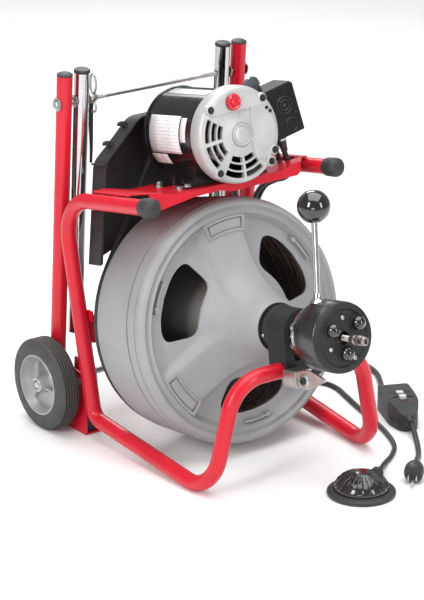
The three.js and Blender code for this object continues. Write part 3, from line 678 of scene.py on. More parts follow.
def addPedal():
    place = machineFrame @ Matrix.Translation(pedal["centre"])
    rim = pedal["rim"]
    tray = lathe([(0.2, 0), (0.2, rim - 2), (1.2, rim - 0.5), (4, rim), (6, rim - 0.4), (7.4, rim - 2),
                  (8.4, rim - 5), (9.2, 43.2), (3.2, 43.2), (3.2, 0)], 96, axis="Z")
    inlet = lathe([(44.6, 0), (44.6, 8), (52, 8), (53, 6.6), (60, 6), (63, 4.6), (63, 0)], 32, axis="Y")
    inlet = moved(shifted(inlet, 0, 0, 13), Matrix.Rotation(math.radians(pedal["inletTurn"]), 4, "Z"))
    elbow = moved(prism(rounded([(-9.5, 5), (9.5, 5), (9.5, 18), (6, 24), (-6, 24), (-9.5, 18)], 3, 3), 44,
                        57, "Y"), Matrix.Rotation(math.radians(pedal["inletTurn"]), 4, "Z"))
    ears = [moved(shifted(rod("Z", 2.2, 0, 0.6, 16), 0, -48, 8.5), Matrix.Rotation(math.radians(a), 4, "Z"))
            for a in (75, 195, 315)]
    base = addPiece("pedalTray", tray, place, cordRubber, "frame", "pedal_base", sharp=30,
                    extra=[(inlet, cordRubber), (elbow, cordRubber), (joined(*ears), glossBlack)])
    outer = [(9.4, 40), (9.4, 42.4), (12, 42.5), (16, 41.6), (22, 38), (28, 31.8), (32.6, 24), (35.6, 16),
             (36.6, 14.6), (37.4, 8), (37.6, 0)]
    inner = [(35, 0), (34, 14), (30, 23), (24, 31.4), (17, 37)]
    dome = addPiece("pedalDome", lathe(inner + outer, 96, axis="Z"), place, shinyRubber, "pedal",
                    "pedal_dome", sharp=60)
    ridge = [Vector((z - 0.3, 0, r)) for z, r in outer[2:8]]
    rib = sweep(ridge, [0.5, 1.1, 1.3, 1.2, 1.0, 0.5], 8)
    upright = place @ Matrix.Rotation(math.radians(-90), 4, "Y")
    addRing("pedalRibs", rib, pedal["ribs"], 6, 360 / pedal["ribs"], upright, shinyRubber, "pedal")
    return base, dome


plugPiece = addPlug()
casePiece = addGfci()
pedalBase, pedalDome = addPedal()
addCords()
print("cords, plug, ground fault switch and pedal ready")

# tube frame

frameTube = {"radius": 12.7, "gripSpan": 179, "floorSpan": 169.5, "uprightSpan": 170.6, "handleSpan": 138,
             "top": 594, "foot": 90, "slope": 0.0717, "topX": -327.5, "rodZ": 548}


def uprightX(z):
    return frameTube["topX"] - (frameTube["top"] - z) * frameTube["slope"]


def uprightPlace(side, span):
    lean = math.atan(frameTube["slope"])
    return machineFrame @ Matrix.Translation((frameTube["topX"], side * span,
                                              frameTube["top"])) @ Matrix.Rotation(lean, 4, "Y")


def addSideTube(side, name):
    grip, floorSpan = frameTube["gripSpan"], frameTube["floorSpan"]
    corners = [(-98, side * grip, 437.2), (-325.6, side * grip, 393), (-256.7, side * (floorSpan + 1.5), 37.7),
               (51.5, side * (floorSpan - 7.5), 6.45), (58.5, side * 122, 187), (58.5, side * 35.8, 186.5)]
    tube = sweep(bentPath(corners, [72, 24, 56, 62]), frameTube["radius"], 32)
    lug = prism(rounded([(-292, 196), (-270, 196), (-270, 214), (-284, 214)], 3), side * 163 - 1.5,
                side * 163 + 1.5, "Y")
    addPiece("sideTube" + name, tube, machineFrame, redPaint, "frame", "side_tube_" + name.lower(),
             extra=[(lug, redPaint)])
    grown = 15.2
    cap = [(-4, 12.75), (-3.6, 14.4), (-1, grown), (16, grown + 0.5), (21, grown), (24.4, 12), (26, 7.5),
           (26.2, 0), (-4, 0)]
    spiral = [Vector((26.1 + 0.25, 0, 0)) + Vector((0, math.cos(a) * r, math.sin(a) * r))
              for a, r in [(k * 0.5, 1 + k * 0.28) for k in range(20)]]
    addPiece("gripCap" + name, lathe(cap, 48), gripFrame @ Matrix.Translation((-7.4, side * grip, 0)),
             gripRubber, "frame", "grip_cap_" + name.lower(), sharp=50,
             extra=[(sweep(spiral, 0.4, 6), gripRubber)])


def addUpright(side, name):
    span = frameTube["uprightSpan"]
    stretch = math.hypot(1, frameTube["slope"])
    length = (frameTube["top"] - frameTube["foot"]) * stretch
    wall = [(-length, 10.9), (-length, 12.7), (0, 12.7), (0, 10.9)]
    tube = lathe(wall, 40, closed=True, axis="Z")
    rodDrop = (frameTube["top"] - frameTube["rodZ"]) * stretch
    holes = [shifted(rod("Y", 4.6, -20, 20, 20), 0, 0, -rodDrop - 46 * i) for i in range(6 if side > 0 else 1)]
    cap = lathe([(-6, 0), (-6, 10.8), (0.2, 10.8), (0.2, 12.8), (2.2, 12.6), (3.6, 10.5), (4, 0)], 40, axis="Z")
    addPiece("upright" + name, carved(tube, *holes), uprightPlace(side, span), redPaint, "frame",
             "upright_" + name.lower(), extra=[(cap, darkPlastic)])


def addHandle(side, name):
    body = "handle_" + name[0].lower()
    stretch = math.hypot(1, frameTube["slope"])
    length = (frameTube["top"] - 150) * stretch
    rodDrop = (frameTube["top"] - frameTube["rodZ"]) * stretch
    tube = lathe([(-length, 10.5), (-length, 12.5), (0, 12.5), (0, 10.5)], 48, closed=True, axis="Z")
    slot = block(-5, 5, -30, 30, -rodDrop - 228, -rodDrop + 5)
    place = uprightPlace(side, frameTube["handleSpan"])
    addPiece("handleTube" + name, carved(tube, slot), place, chrome, body,
             "handle_tube_" + name.lower())
    cap = lathe([(-7, 0), (-7, 10.4), (0.2, 10.4), (0.3, 13), (3.5, 13.2), (5.4, 11.6), (6, 8), (6.1, 0)],
                48, axis="Z")
    addPiece("handleCap" + name, cap, place, darkPlastic, body, "handle_cap_" + name.lower())


def wireLoop(z, wide, tall):
    turns = [k * math.pi / 16 for k in range(32)]
    return sweep([Vector((wide * math.cos(a), -115, z + tall * math.sin(a))) for a in turns], 1.9, 12,
                 closed=True)


def addCrossRod():
    place = machineFrame @ Matrix.Translation((uprightX(frameTube["rodZ"]), 0, frameTube["rodZ"]))
    shank = rod("Y", 3.95, -188, 188, 24)
    thread = joined(*[shifted(lathe([(-0.5, 3.9), (0, 4.25), (0.5, 3.9)], 20, closed=True, axis="Y"), 0,
                              -130 + 1.4 * i, 0) for i in range(26)])
    ends = joined(moved(shifted(hexHead(7.4, 5.4), 183.5, 0, 0), Matrix.Rotation(math.pi / 2, 4, "Z")),
                  moved(shifted(hexHead(7.4, 5.4), 183.5, 0, 0), Matrix.Rotation(-math.pi / 2, 4, "Z")))
    nuts = joined(*[moved(shifted(hexHead(6.6, 3), 151.5, 0, 0), Matrix.Rotation(a, 4, "Z")) for a in
                    (math.pi / 2, -math.pi / 2)])
    addPiece("crossRod", shank, place, zinc, "frame", "handle_rod",
             extra=[(thread, zinc), (ends, zinc), (nuts, zinc)])
    hub = lathe([(-124.4, 4.3), (-124.4, 8), (-122, 9), (-112, 7), (-110, 5.5), (-110, 4.3)], 32,
                closed=True, axis="Y")
    addPiece("wingNut", hub, place, zinc, "frame", "wing_nut",
             extra=[(wireLoop(23, 8, 15.5), zinc), (wireLoop(-15, 7, 9), zinc)])
    strap = smoothLine([(-4, -125.5, 2), (-8, -129, -12), (-10, -129, -40), (-13, -127, -80),
                        (-16, -126, -112)], 5)
    band = sweep(strap, [3.2 + 0.8 * math.sin(i * 0.2) for i in range(len(strap))], 12)
    addPiece("strap", band, place @ Matrix.Translation((2, 14, 0)), gripRubber, "frame")


def addFootBracket(side, name):
    heel = [(-374, 88), (-374, 62), (-366, 42), (-352, 20), (-340, 7), (-326, 0.2), (-276, 0.2), (-275, 22),
            (-288, 104), (-348.5, 112), (-349, 88)]
    hollow = [(-371, 130), (-371, 63), (-363, 43), (-350, 23), (-338, 10), (-325, 3), (-200, 3), (-200, 130)]
    shell = prism(rounded(heel, [2, 8, 12, 12, 12, 6, 3, 3, 6, 6, 1], 4), 145, 175, "Y")
    carvedShell = carved(shell, prism(hollow, 148, 172, "Y"),
                         shifted(rod("Y", 6.8, 120, 200, 32), -349, 0, 76))
    pad = joined(prism(rounded([(-350, 0.3), (-327, 0.3), (-326, 3), (-340, 9), (-350, 18), (-353, 16),
                                (-353, 3)], 1.5, 2), 147, 173, "Y"),
                 prism(rounded([(-338, 3), (-281, 3), (-283, 40), (-338, 40)], 4), 149, 171, "Y"))
    bolt = moved(hexHead(5, 3), Matrix.Translation((-296, 175, 88)) @ Matrix.Rotation(math.pi / 2, 4, "Z"))
    mirror = Matrix.Scale(side, 4, (0, 1, 0))
    addPiece("footBracket" + name, moved(carvedShell, mirror), machineFrame, redPaint, "frame",
             "foot_bracket_" + name.lower(), bevel=0.6, sharp=40,
             extra=[(moved(pad, mirror), gripRubber), (moved(bolt, mirror), zinc)])


def addCrossbar():
    s = -199
    bar = carved(prism(rounded([(-160.6, -22), (160.6, -22), (160.6, 22), (-160.6, 22)], 6), s - 4, s + 4),
                 *[shifted(rod("X", 5, s - 20, s + 20, 24), 0, y, 0) for y in (-120, 120)],
                 rod("X", 23, s - 20, s + 20))
    boss = lathe([(s - 10, 12.8), (s - 10, 21), (s - 7, 24), (s + 7, 24), (s + 10, 21), (s + 10, 12.8)], 48,
                 closed=True)
    screws = joined(*[shifted(moved(hexHead(4.6, 3), Matrix.Rotation(math.pi, 4, "Y")), s - 4, y, z)
                      for y in (-36, 36) for z in (-12, 12)])
    addPiece("rearCrossbar", bar, drumFrame, redPaint, "frame", "rear_crossbar", bevel=1.0,
             extra=[(boss, castBlack), (screws, zinc)])


def addChannel():
    top = [(-176, 16.2), (-150, 16.2), (-104, 6), (104, 6), (150, 16.2), (176, 16.2)]
    under = [(y, z - 3) for y, z in reversed(top)]
    plate = prism(rounded(top + under, 3, 3), -160, -32)
    lip = [(-152, 16.2), (-104, 6), (104, 6), (142, 14.6), (142, 2), (136, -7), (0, -9), (-18, -3.5), (-70, -5),
           (-140, -15), (-152, -10)]
    front = prism(rounded(lip, [2, 3, 3, 2, 4, 6, 5, 5, 6, 8, 6], 4), -35, -31.6)
    tools = []
    for side in (1, -1):
        corner = [(-20, 200), (-20, 143), (-30, 142), (-58, 165), (-58, 200)]
        tools.append(prism([(x, side * y) for x, y in corner], -20, 40, "Z"))
    holes = [prism(rounded([(-98, 139), (-60, 139), (-60, 163), (-98, 163)], 6), -30, 60, "Z"),
             prism(rounded([(-100, -136), (-80, -136), (-80, -124), (-100, -124)], 5), -30, 60, "Z")]
    sheet = carved(plate, *tools, *holes)
    back = prism(rounded([(-140, 12), (-104, 6), (104, 6), (140, 12), (140, 0), (-140, 0)], 3, 3), -160, -157)
    bolts = joined(*[shifted(moved(hexHead(6, 4), Matrix.Rotation(-math.pi / 2, 4, "Y")), x, y, 6.2)
                     for x in (-125, -68) for y in (-70, 88)])
    addPiece("motorChannel", sheet, gripFrame, redPaint, "frame", "motor_channel", bevel=0.7,
             extra=[(front, redPaint), (back, redPaint), (bolts, zinc)])


for side, name in ((-1, "Right"), (1, "Left")):
    addSideTube(side, name)
    addUpright(side, name)
    addHandle(side, name)
    addFootBracket(side, name)
addCrossRod()
addCrossbar()
addChannel()
print("tube frame ready")

# wheels

wheel = {"radius": 76, "width": 36, "x": -349, "span": 202.5, "grooves": 5, "grooveDepth": 2.6, "spokes": 3}


def addWheel(side, name):
    body = "wheel_" + name[0].lower()
    place = machineFrame @ Matrix.Translation((wheel["x"], side * wheel["span"],
                                               wheel["radius"])) @ Matrix.Rotation(side * math.pi / 2, 4,
                                                                                   "Z")
    half = wheel["width"] / 2
    tread = []
    for i in range(wheel["grooves"]):
        x = -half + 6.6 + i * 5.2
        tread += [(x, 75.8), (x + 0.5, 75.8 - wheel["grooveDepth"]), (x + 1.6, 75.8 - wheel["grooveDepth"]),
                  (x + 2.1, 75.8)]
    tread.sort()
    profile = [(-half, 51), (-half - 0.2, 56), (-half, 63), (-half + 0.6, 66), (-half + 1.4, 70.5),
               (-half + 3.4, 74), (-half + 5.6, 75.7)] + tread + [(half - 5.6, 75.7), (half - 3.4, 74),
                                                                  (half - 1.4, 70.5), (half - 0.6, 66),
                                                                  (half, 63), (half + 0.2, 56), (half, 51),
                                                                  (half - 3, 50), (-half + 3, 50)]
    addPiece("tyre" + name, lathe(profile, 128, closed=True), place, tyreRubber, body,
             "tyre_" + name.lower(), sharp=28)
    rim = [(half - 0.5, 50.6), (half + 0.6, 49.6), (half + 0.4, 47.6), (half - 4, 46.4), (half - 9, 44),
           (2, 40), (1, 17), (4, 14.5), (half - 2, 12.6), (half - 1, 11), (half - 1, 6.9), (-half + 1, 6.9),
           (-half + 1, 11), (-half + 2, 12.6), (-4, 14.5), (-1, 17), (-2, 40), (-half + 9, 44),
           (-half + 4, 46.4), (-half - 0.4, 47.6), (-half - 0.6, 49.6), (-half + 0.5, 50.6)]
    addPiece("wheelHub" + name, lathe(rim, 96, closed=True), place, hubPaint, body,
             "wheel_hub_" + name.lower(), sharp=40)
    fin = [(1.5, 12), (13.5, 12), (12.5, 20), (6, 41), (1.5, 43)]
    rib = joined(*[prism([(a * sign, b) for a, b in rounded(fin, 1.2, 2)], -1.3, 1.3, "Y") for sign in (1, -1)])
    addRing("wheelRibs" + name, rib, wheel["spokes"], 20, 360 / wheel["spokes"], place, hubPaint, body)
    cap = lathe([(half - 1.5, 6.6), (half - 1.5, 12), (half + 0.4, 11.6), (half + 1, 8.4), (half + 2.4, 8),
                 (half + 3.4, 6.6)], 40, closed=True)
    addPiece("wheelWasher" + name, cap, place, zinc, "frame")


for side, name in ((-1, "Right"), (1, "Left")):
    addWheel(side, name)
axleShape = lathe([(-223, 0), (-223, 5), (-221.5, 6.3), (221.5, 6.3), (223, 5), (223, 0)], 32, axis="Y")
addPiece("wheelAxle", axleShape, machineFrame @ Matrix.Translation((wheel["x"], 0, wheel["radius"])), zinc,
         "frame", "axle")
print("wheels ready")

# drum

# windows, scoops and spokes are set by angle, in degrees
drum = {"windows": (155, 35, -85), "windowInner": 87.5, "windowOuter": 148.5, "windowHalf": 28, "scoop": 13.5,
        "spokeHalf": 31, "crease": 15, "plaqueHalf": 13.5, "cableRadius": 4.9, "cablePitch": 9.7}
drumFace = [(-31.5, 195.4), (-31.2, 197.6), (-30, 198), (-14.6, 197.4), (-13.8, 195.6), (-11.8, 195.4),
            (-11.2, 196.6), (-7.4, 195.8), (-3.6, 193.8), (-0.6, 191), (1.0, 188), (1.2, 186), (-0.6, 184),
            (-2.8, 182.8), (-3.4, 181), (-2.6, 179), (-0.6, 177.2), (0.8, 174), (1.2, 168), (1.4, 160),
            (2.0, 150), (3.4, 140), (6, 128), (9.2, 116), (13, 104), (17.6, 94), (22, 86), (28, 78),
            (35, 71), (43, 64.4), (52, 59), (62, 53.8), (72, 49.6), (82, 46), (90, 42.8), (96.5, 39.4)]


def smoothStep(low, high, value):
    share = min(1.0, max(0.0, (value - low) / (high - low)))
    return share * share * (3 - 2 * share)


def scoopDepth(radius, angle):
    near = min(abs((angle - centre + 180) % 360 - 180) for centre in drum["windows"])
    fromSpoke = radius * math.sin(math.radians(min(90, max(0, 60 - near))))  # distance off the spoke's centre line
    sideways = smoothStep(drum["spokeHalf"], drum["spokeHalf"] + drum["crease"], fromSpoke)
    inOut = smoothStep(48, 92, radius) * (1 - smoothStep(163, 175, radius))
    crown = (1 - sideways) * smoothStep(50, 80, radius) * (1 - smoothStep(120, 150, radius))
    return sideways * inOut * drum["scoop"] - 2.0 * crown


def windowOutline(centre, grow=0.0):
    outline = []
    mid = (drum["windowInner"] + drum["windowOuter"]) / 2
    reach = (drum["windowOuter"] - drum["windowInner"]) / 2 + grow
    for i in range(72):
        t = 2 * math.pi * i / 72
        u = math.copysign(abs(math.cos(t)) ** 0.42, math.cos(t))
        v = math.copysign(abs(math.sin(t)) ** 0.42, math.sin(t))
        radius = mid + v * reach
        angle = math.radians(centre + u * (drum["windowHalf"] + math.degrees(grow / radius)))
        outline.append((radius * math.cos(angle), radius * math.sin(angle)))
    return outline


def drumFrontShape():
    sides, wall = 216, 3.2
    rows = []
    for i in range(len(drumFace) - 1):
        (s0, r0), (s1, r1) = drumFace[i], drumFace[i + 1]
        count = max(1, round(math.hypot(s1 - s0, r1 - r0) / 4))
        rows += [(s0 + (s1 - s0) * k / count, r0 + (r1 - r0) * k / count) for k in range(count)]
    rows.append(drumFace[-1])
    inner = []
    for i, (s, r) in enumerate(rows):
        before, after = rows[max(0, i - 1)], rows[min(len(rows) - 1, i + 1)]
        ds, dr = after[0] - before[0], after[1] - before[1]
        size = math.hypot(ds, dr)
        inner.append((s + wall * dr / size, r - wall * ds / size))
    points, faces = [], []
    for ring in (rows, inner[::-1]):
        for s, r in ring:
            for k in range(sides):
                angle = 360 * k / sides
                lift = scoopDepth(r, angle)
                turn = math.radians(angle)
                points.append((s - lift, r * math.cos(turn), r * math.sin(turn)))
    total = 2 * len(rows)
    for i in range(total):
        a, b = i * sides, (i + 1) % total * sides
        faces += [(a + k, a + (k + 1) % sides, b + (k + 1) % sides, b + k) for k in range(sides)]
    return points, faces


def plaqueShape(centre):
    half = drum["plaqueHalf"]
    ring = arcSector(146, 171.5, centre - half, centre + half)
    hole = arcSector(149.6, 168, centre - half + 1.5, centre + half - 1.5)
    panel = arcSector(152, 165.6, centre - half + 2.8, centre + half - 2.8)
    return joined(carved(prism(ring, -1, 4.4), prism(hole, -3, 8)), prism(panel, -1, 3.2))


def arrowShape(centre):
    middle, half, foot, face = 163, 1.6, -12, -3.6
    shaft = arcSector(middle - half, middle + half, centre - 9, centre + 6)
    tip = [(math.radians(centre + a), middle + r) for a, r in ((6, 4.5), (6, -4.5), (10, 0))]
    head = [(r * math.cos(a), r * math.sin(a)) for a, r in tip]
    return joined(prism(shaft, foot, face), prism(head, foot, face))


def addDrum():
    front = carved(drumFrontShape(), *[prism(windowOutline(c), -40, 70) for c in drum["windows"]])
    plaques = joined(*[plaqueShape(c) for c in (95, 215, 335)])
    arrows = joined(*[arrowShape(c) for c in drum["windows"]])
    nose = lathe([(94, 14), (94, 33), (96, 38.6), (98.5, 38.6), (98.5, 23.6), (152, 23.6), (152, 14)], 64,
                 closed=True)
    addPiece("drumFront", front, drumFrame, drumPlastic, "drum", "drum_front_shell", sharp=38,
             extra=[(plaques, drumPlastic), (arrows, drumPlastic), (nose, castBlack)])
    rear = [(-32.2, 192), (-32.2, 194.6), (-34.4, 194.8), (-34.8, 197.4), (-37.5, 197.6), (-42, 197),
            (-70, 194.6), (-100, 192.6), (-124, 190.8), (-128, 190), (-129.6, 188.4), (-130, 182.4),
            (-144, 181.4), (-146, 179.5), (-146, 150), (-143.5, 146), (-143.5, 64), (-146, 60),
            (-146, 21.6), (-142, 21.6), (-141, 176), (-128, 178), (-125, 186), (-60, 190)]
    addPiece("drumRear", lathe(rear, 160, closed=True), drumFrame, drumPlastic, "drum",
             "drum_rear_shell", sharp=40)
    rib = prism(rounded([(-146.6, 66), (-143, 66), (-143, 145), (-146.6, 145)], 1), -1.6, 1.6, "Y")
    addRing("drumBackRibs", rib, 12, 0, 30, drumFrame, drumPlastic, "drum")
    inner = [(-140, 40), (-140, 87), (-120, 86), (-80, 82), (-40, 76), (-20, 69), (-6, 58), (6, 44),
             (10, 38), (8, 36), (-8, 55), (-22, 66), (-42, 73), (-80, 78.5), (-134, 83), (-134, 40)]
    addPiece("innerDrum", lathe(inner, 128, closed=True), drumFrame, innerPlastic, "drum",
             "inner_drum", sharp=30)
    shaft = lathe([(-207, 0), (-207, 9), (-205, 12), (-149, 12), (-149, 30), (-146.3, 30), (-146.3, 21),
                   (-142, 21), (-142, 0)], 48)
    addPiece("drumShaft", shaft, drumFrame, zinc, "drum", "drum_shaft")


def addWoundCable():
    radius, pitch = drum["cableRadius"], drum["cablePitch"]
    rings = [(-45 - i * pitch, 163.5 + 0.8 * (i % 2)) for i in range(9)]
    rings += [(-40 - i * pitch, 172.4 + 0.5 * (i % 3)) for i in range(10)]
    rings += [(-44 - i * pitch, 179.4 - 0.4 * i) for i in range(8)]
    points, faces, along = [], [], []
    steps, sides = 150, 10
    for number, (s, r) in enumerate(rings):
        start = len(points)
        for i in range(steps):
            angle = 2 * math.pi * i / steps
            wander = 0.7 * math.sin(angle * 3 + number * 1.7) + 0.35 * math.sin(angle * 7 + number)
            for k in range(sides):
                turn = 2 * math.pi * k / sides
                reach = r + radius * math.cos(turn) + wander * 0.5
                points.append((s + radius * math.sin(turn) + wander, reach * math.cos(angle),
                               reach * math.sin(angle)))
        for i in range(steps):
            a, b = start + i * sides, start + (i + 1) % steps * sides
            for k in range(sides):
                faces.append((a + k, a + (k + 1) % sides, b + (k + 1) % sides, b + k))
                u0, u1 = i * 2 * math.pi * r / steps, (i + 1) * 2 * math.pi * r / steps
                along.append(((u0, k), (u0, k + 1), (u1, k + 1), (u1, k)))
    mesh = bpy.data.meshes.new("woundCable")
    mesh.from_pydata([tuple((drumFrame @ Vector(p)) * toMetres) for p in points], [], faces)
    layer = mesh.uv_layers.new(name="along")
    for polygon, corners in zip(mesh.polygons, along):
        for loop, (u, v) in zip(polygon.loop_indices, corners):
            layer.data[loop].uv = (u * 0.128, v)  # one band of the wave is one wrap of wire
    mesh.materials.append(wrappedSteel)
    mesh.shade_smooth()
    tool = bmesh.new()
    tool.from_mesh(mesh)
    bmesh.ops.recalc_face_normals(tool, faces=tool.faces)
    tool.to_mesh(mesh)
    tool.free()
    thing = bpy.data.objects.new("woundCable", mesh)
    bpy.context.scene.collection.objects.link(thing)
    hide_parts("cable_coil")
    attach(thing, "drum")


def addCableEnd():
    wraps = joined(*[shifted(lathe([(-0.8, 4.2), (0, 4.9), (0.8, 4.2)], 24, closed=True), 262 + 1.65 * i, 0, 0)
                     for i in range(12)])
    core = lathe([(60, 0), (60, 4.3), (285, 4.3), (285, 0)], 24)
    coupling = lathe([(282, 0), (282, 6.4), (284, 7.4), (292, 7.4), (293, 6), (296, 6), (297, 7.8),
                      (307, 7.8), (308.5, 7), (315, 7), (316.6, 5.6), (316.6, 0)], 40)
    slot = joined(block(300, 330, -2.4, 2.4, -3.6, 3.6), block(306, 312, -9, 9, -3.6, 3.6))
    addPiece("cableEnd", core, drumFrame, steel, "drum", "cable_end",
             extra=[(wraps, steel), (carved(coupling, slot), steel)])


addDrum()
addWoundCable()
addCableEnd()
print("drum and cable ready")

# belt drive


def beltLine(drumRadius, pulleyRadius, centre):
    span, heading = math.hypot(*centre), math.atan2(centre[1], centre[0])
    spread = math.acos((drumRadius - pulleyRadius) / span)
    line = []
    for i in range(97):
        a = heading + spread + (2 * math.pi - 2 * spread) * i / 96
        line.append((drumRadius * math.cos(a), drumRadius * math.sin(a)))
    for i in range(13):
        a = heading - spread + 2 * spread * i / 12
        line.append((centre[0] + pulleyRadius * math.cos(a), centre[1] + pulleyRadius * math.sin(a)))
    return line


def addBeltDrive():
    pulleyAt = (9, 219.1 + 81.7)
    inner, outer = beltLine(183.3, 21.2, pulleyAt), beltLine(188, 25.9, pulleyAt)
    count = len(inner)
    points = [(s, y, z) for s in (-141.3, -132.7) for line in (inner, outer) for y, z in line]
    faces = []
    for i in range(count):
        j = (i + 1) % count
        for a, b in ((0, 1), (1, 3), (3, 2), (2, 0)):
            faces.append((a * count + i, a * count + j, b * count + j, b * count + i))
    addPiece("driveBelt", (points, faces), drumFrame, beltRubber, "frame", "drive_belt",
             bevel=0.8)
    at = -137 - 41.55
    pulley = [(at - 8, 6.4), (at - 8, 22.6), (at - 6.4, 23), (at - 4, 15), (at + 4, 15), (at + 6.4, 23),
              (at + 8, 22.6), (at + 8, 6.4)]
    pulley = [(s, r if r > 16 or r < 7 else 19.6) for s, r in pulley]
    addPiece("motorPulley", lathe(pulley, 64, closed=True), motorFrame, zinc, "rotor",
             "motor_pulley")


def addGuard():
    edge = [(-60, 334), (-105, 296), (-136, 272), (-147, 216), (-168, 112), (112, 205), (84, 300), (50, 334)]
    room = [(-59, 331.5), (-103, 294), (-133, 270.5), (-144.5, 216), (-166, 90), (138, 90), (109.5, 205),
            (81.5, 299), (49, 331.5)]
    shell = carved(prism(rounded(edge, [14, 8, 12, 20, 1, 1, 14, 14], 6), -165, -131),
                   prism(rounded(room, [12, 8, 11, 18, 1, 1, 1, 12, 12], 6), -162.5, -100))
    ribs = joined(*[prism(rounded([(-165, z), (-131, z), (-131, z + 3), (-165, z + 3)], 1, 2), y - 3, y, "Y")
                    for y, z in ((-147.5, 214), (-137, 268))])
    hooks = joined(*[moved(prism(rounded([(0, 0), (12, 3), (15, 10), (11, 15), (10, 9), (0, 8)], 1.5, 3),
                                 -4, 4), Matrix.Translation((-150, y, z)) @ Matrix.Rotation(turn, 4,
                                                                                            "X")) for y, z,
                     turn in ((-104, 296, 2.2), (-72, 322, 2.2))])
    panel = prism(rounded([(-112, 276), (-70, 308), (44, 308), (62, 276), (70, 226), (-118, 226)], 8, 4),
                  -167, -164.8)
    screws = joined(*[shifted(moved(hexHead(4.4, 3), Matrix.Rotation(math.pi, 4, "Y")), -165, y, z)
                      for y, z in ((-132, 238), (88, 238), (-20, 322))])
    addPiece("beltGuard", shell, drumFrame, darkPlastic, "frame", "belt_guard", bevel=0.9,
             extra=[(hooks, darkPlastic), (panel, darkPlastic), (screws, zinc), (ribs, darkPlastic)])


addBeltDrive()
addGuard()
print("belt drive ready")

# motor

motor = {"bellRadius": 77, "shellRadius": 70, "slotRows": (63.5, 51.5, 39.5), "slotWide": 9.2,
         "slotGroups": ((150, 183), (188, 223), (237, 269), (273, 303)),
         "screws": ((-53, 46.8), (-48, -53.2), (48, 50.3), (61, -34), (52, -51)), "button": (-9.5, 53.2)}


def addMotor():
    radius, shellR = motor["bellRadius"], motor["shellRadius"]
    bell = [(-28, 71.5), (-28, radius - 1), (-26, radius), (-9, radius), (-4, radius - 1.6),
            (-1.2, radius - 4.6), (0, radius - 9), (-0.6, 34), (0.4, 26), (2.4, 22), (2.8, 19.4), (1.6, 19),
            (1.6, 18), (3.4, 17.4), (4, 15), (4, 7), (-8, 7), (-5.5, 60), (-9, 71.5)]
    tools = []
    for row in motor["slotRows"]:
        for start, end in motor["slotGroups"]:
            pinch = 1.2 * (motor["slotRows"][0] - row) / 24
            wide = motor["slotWide"] / 2
            tools.append(prism(rounded(arcSector(row - wide, row + wide, start + pinch, end - pinch, 8),
                                       1.2, 1), -30, 12))
    tools.append(shifted(rod("X", 8.7, -30, 20), 0, *motor["button"]))
    face = carved(lathe(bell, 128, closed=True), *tools)
    visor = []
    for i in range(25):
        angle = math.radians(147 - 110 * i / 24)
        visor.append((67 * math.cos(angle), 67 * math.sin(angle)))
    visorShape = carved(prism(rounded(visor, 1.5, 1), -3, 2.2), shifted(rod("X", 13.8, -0.2, 20), 0,
                                                                        *motor["button"]),
                        shifted(rod("X", 8.9, -30, 20), 0, *motor["button"]))
    lens = arcSector(0, 66, -43, 40, 20)[:21]
    plate = prism(rounded([*lens, (24, 40), (21, 20), (21, -20), (26, -42)], 2, 2), -2, 1.6)
    lugs = joined(*[shifted(lathe([(-6, 0), (-6, 8.4), (1, 8.2), (3, 7), (3, 0)], 28), 0, y, z)
                    for y, z in motor["screws"]])
    heads = joined(*[shifted(hexHead(3.8, 3.4), 3, y, z) for y, z in motor["screws"]])
    disc = joined(lathe([(3.2, 0), (3.2, 13.4), (4.6, 13.4), (4.9, 12.4), (4.6, 0)], 48),
                  lathe([(3, 14.8), (5.4, 15.2), (5.8, 16), (5.4, 17), (3, 17.6)], 64, closed=True))
    nick = block(-1, 1.2, 1, 4.4, 24, 34)
    plugs = joined(*[shifted(rod("X", 3, 1, 2.4, 20), 0, y, z) for y, z in ((54, 34), (60, 28))])
    addPiece("motorBell", face, motorFrame, bellMetal, "frame", "motor_front_bell", sharp=38,
             bevel=0.5, extra=[(visorShape, bellMetal), (plate, platePaint), (lugs, bellMetal),
                               (heads, castBlack), (disc, platePaint), (nick, platePaint),
                               (plugs, glossBlack)])
    button = lathe([(-3.4, 0), (-3.4, 8.2), (1, 8.2), (1, 0)], 40)
    petals = around(14, shifted(rod("X", 1.5, 0.6, 4.6, 12), 0, 11.6, 0))
    crown = lathe([(0.6, 0), (0.6, 12), (3, 12.6), (5, 11.6), (5.6, 9.6), (4.4, 8), (4.4, 6), (6.4, 5.2),
                   (7.2, 0)], 48)
    addPiece("resetButton", button, motorFrame @ Matrix.Translation((2.4, *motor["button"])), redPlastic,
             "reset", "reset_button", extra=[(crown, redPlastic), (petals, redPlastic)])
    shell = lathe([(-158, shellR - 3), (-158, shellR), (-28.4, shellR), (-28.4, shellR - 3)], 128, closed=True)
    seam = prism(rounded([(-146, 0.2), (-31, 0.2), (-31, 1), (-146, 1)], 0.3, 1), -1, 1, "Y")
    addPiece("motorShell", shell, motorFrame, motorBlack, "frame", "motor_shell",
             extra=[(shifted(seam, 0, 0, shellR - 0.4), motorBlack)])
    back = [(-158.3, 66), (-158.3, shellR + 1), (-160, shellR + 1.8), (-165, shellR + 1.4),
            (-168, shellR - 2), (-168.4, 58), (-168, 8), (-164, 8), (-164, 56), (-161, 64)]
    vents = [prism(rounded(arcSector(36, 54, a, a + 26, 6), 3, 2), -180, -140) for a in range(0, 360, 45)]
    addPiece("motorBack", carved(lathe(back, 96, closed=True), *vents), motorFrame, motorBlack, "frame",
             "motor_rear_bell", sharp=36)
    rotor = lathe([(-190, 0), (-190, 6), (-140, 6), (-138, 30), (-136, 44), (-50, 44), (-48, 30), (-45, 6),
                   (-2, 6), (-2, 0)], 64)
    blade = prism(rounded([(-46, 18), (-36, 18), (-36, 42), (-46, 42)], 1), -0.8, 0.8, "Y")
    addPiece("motorRotor", rotor, motorFrame, steel, "rotor", "motor_rotor")
    addRing("rotorFins", blade, 16, 0, 22.5, motorFrame, steel, "rotor")


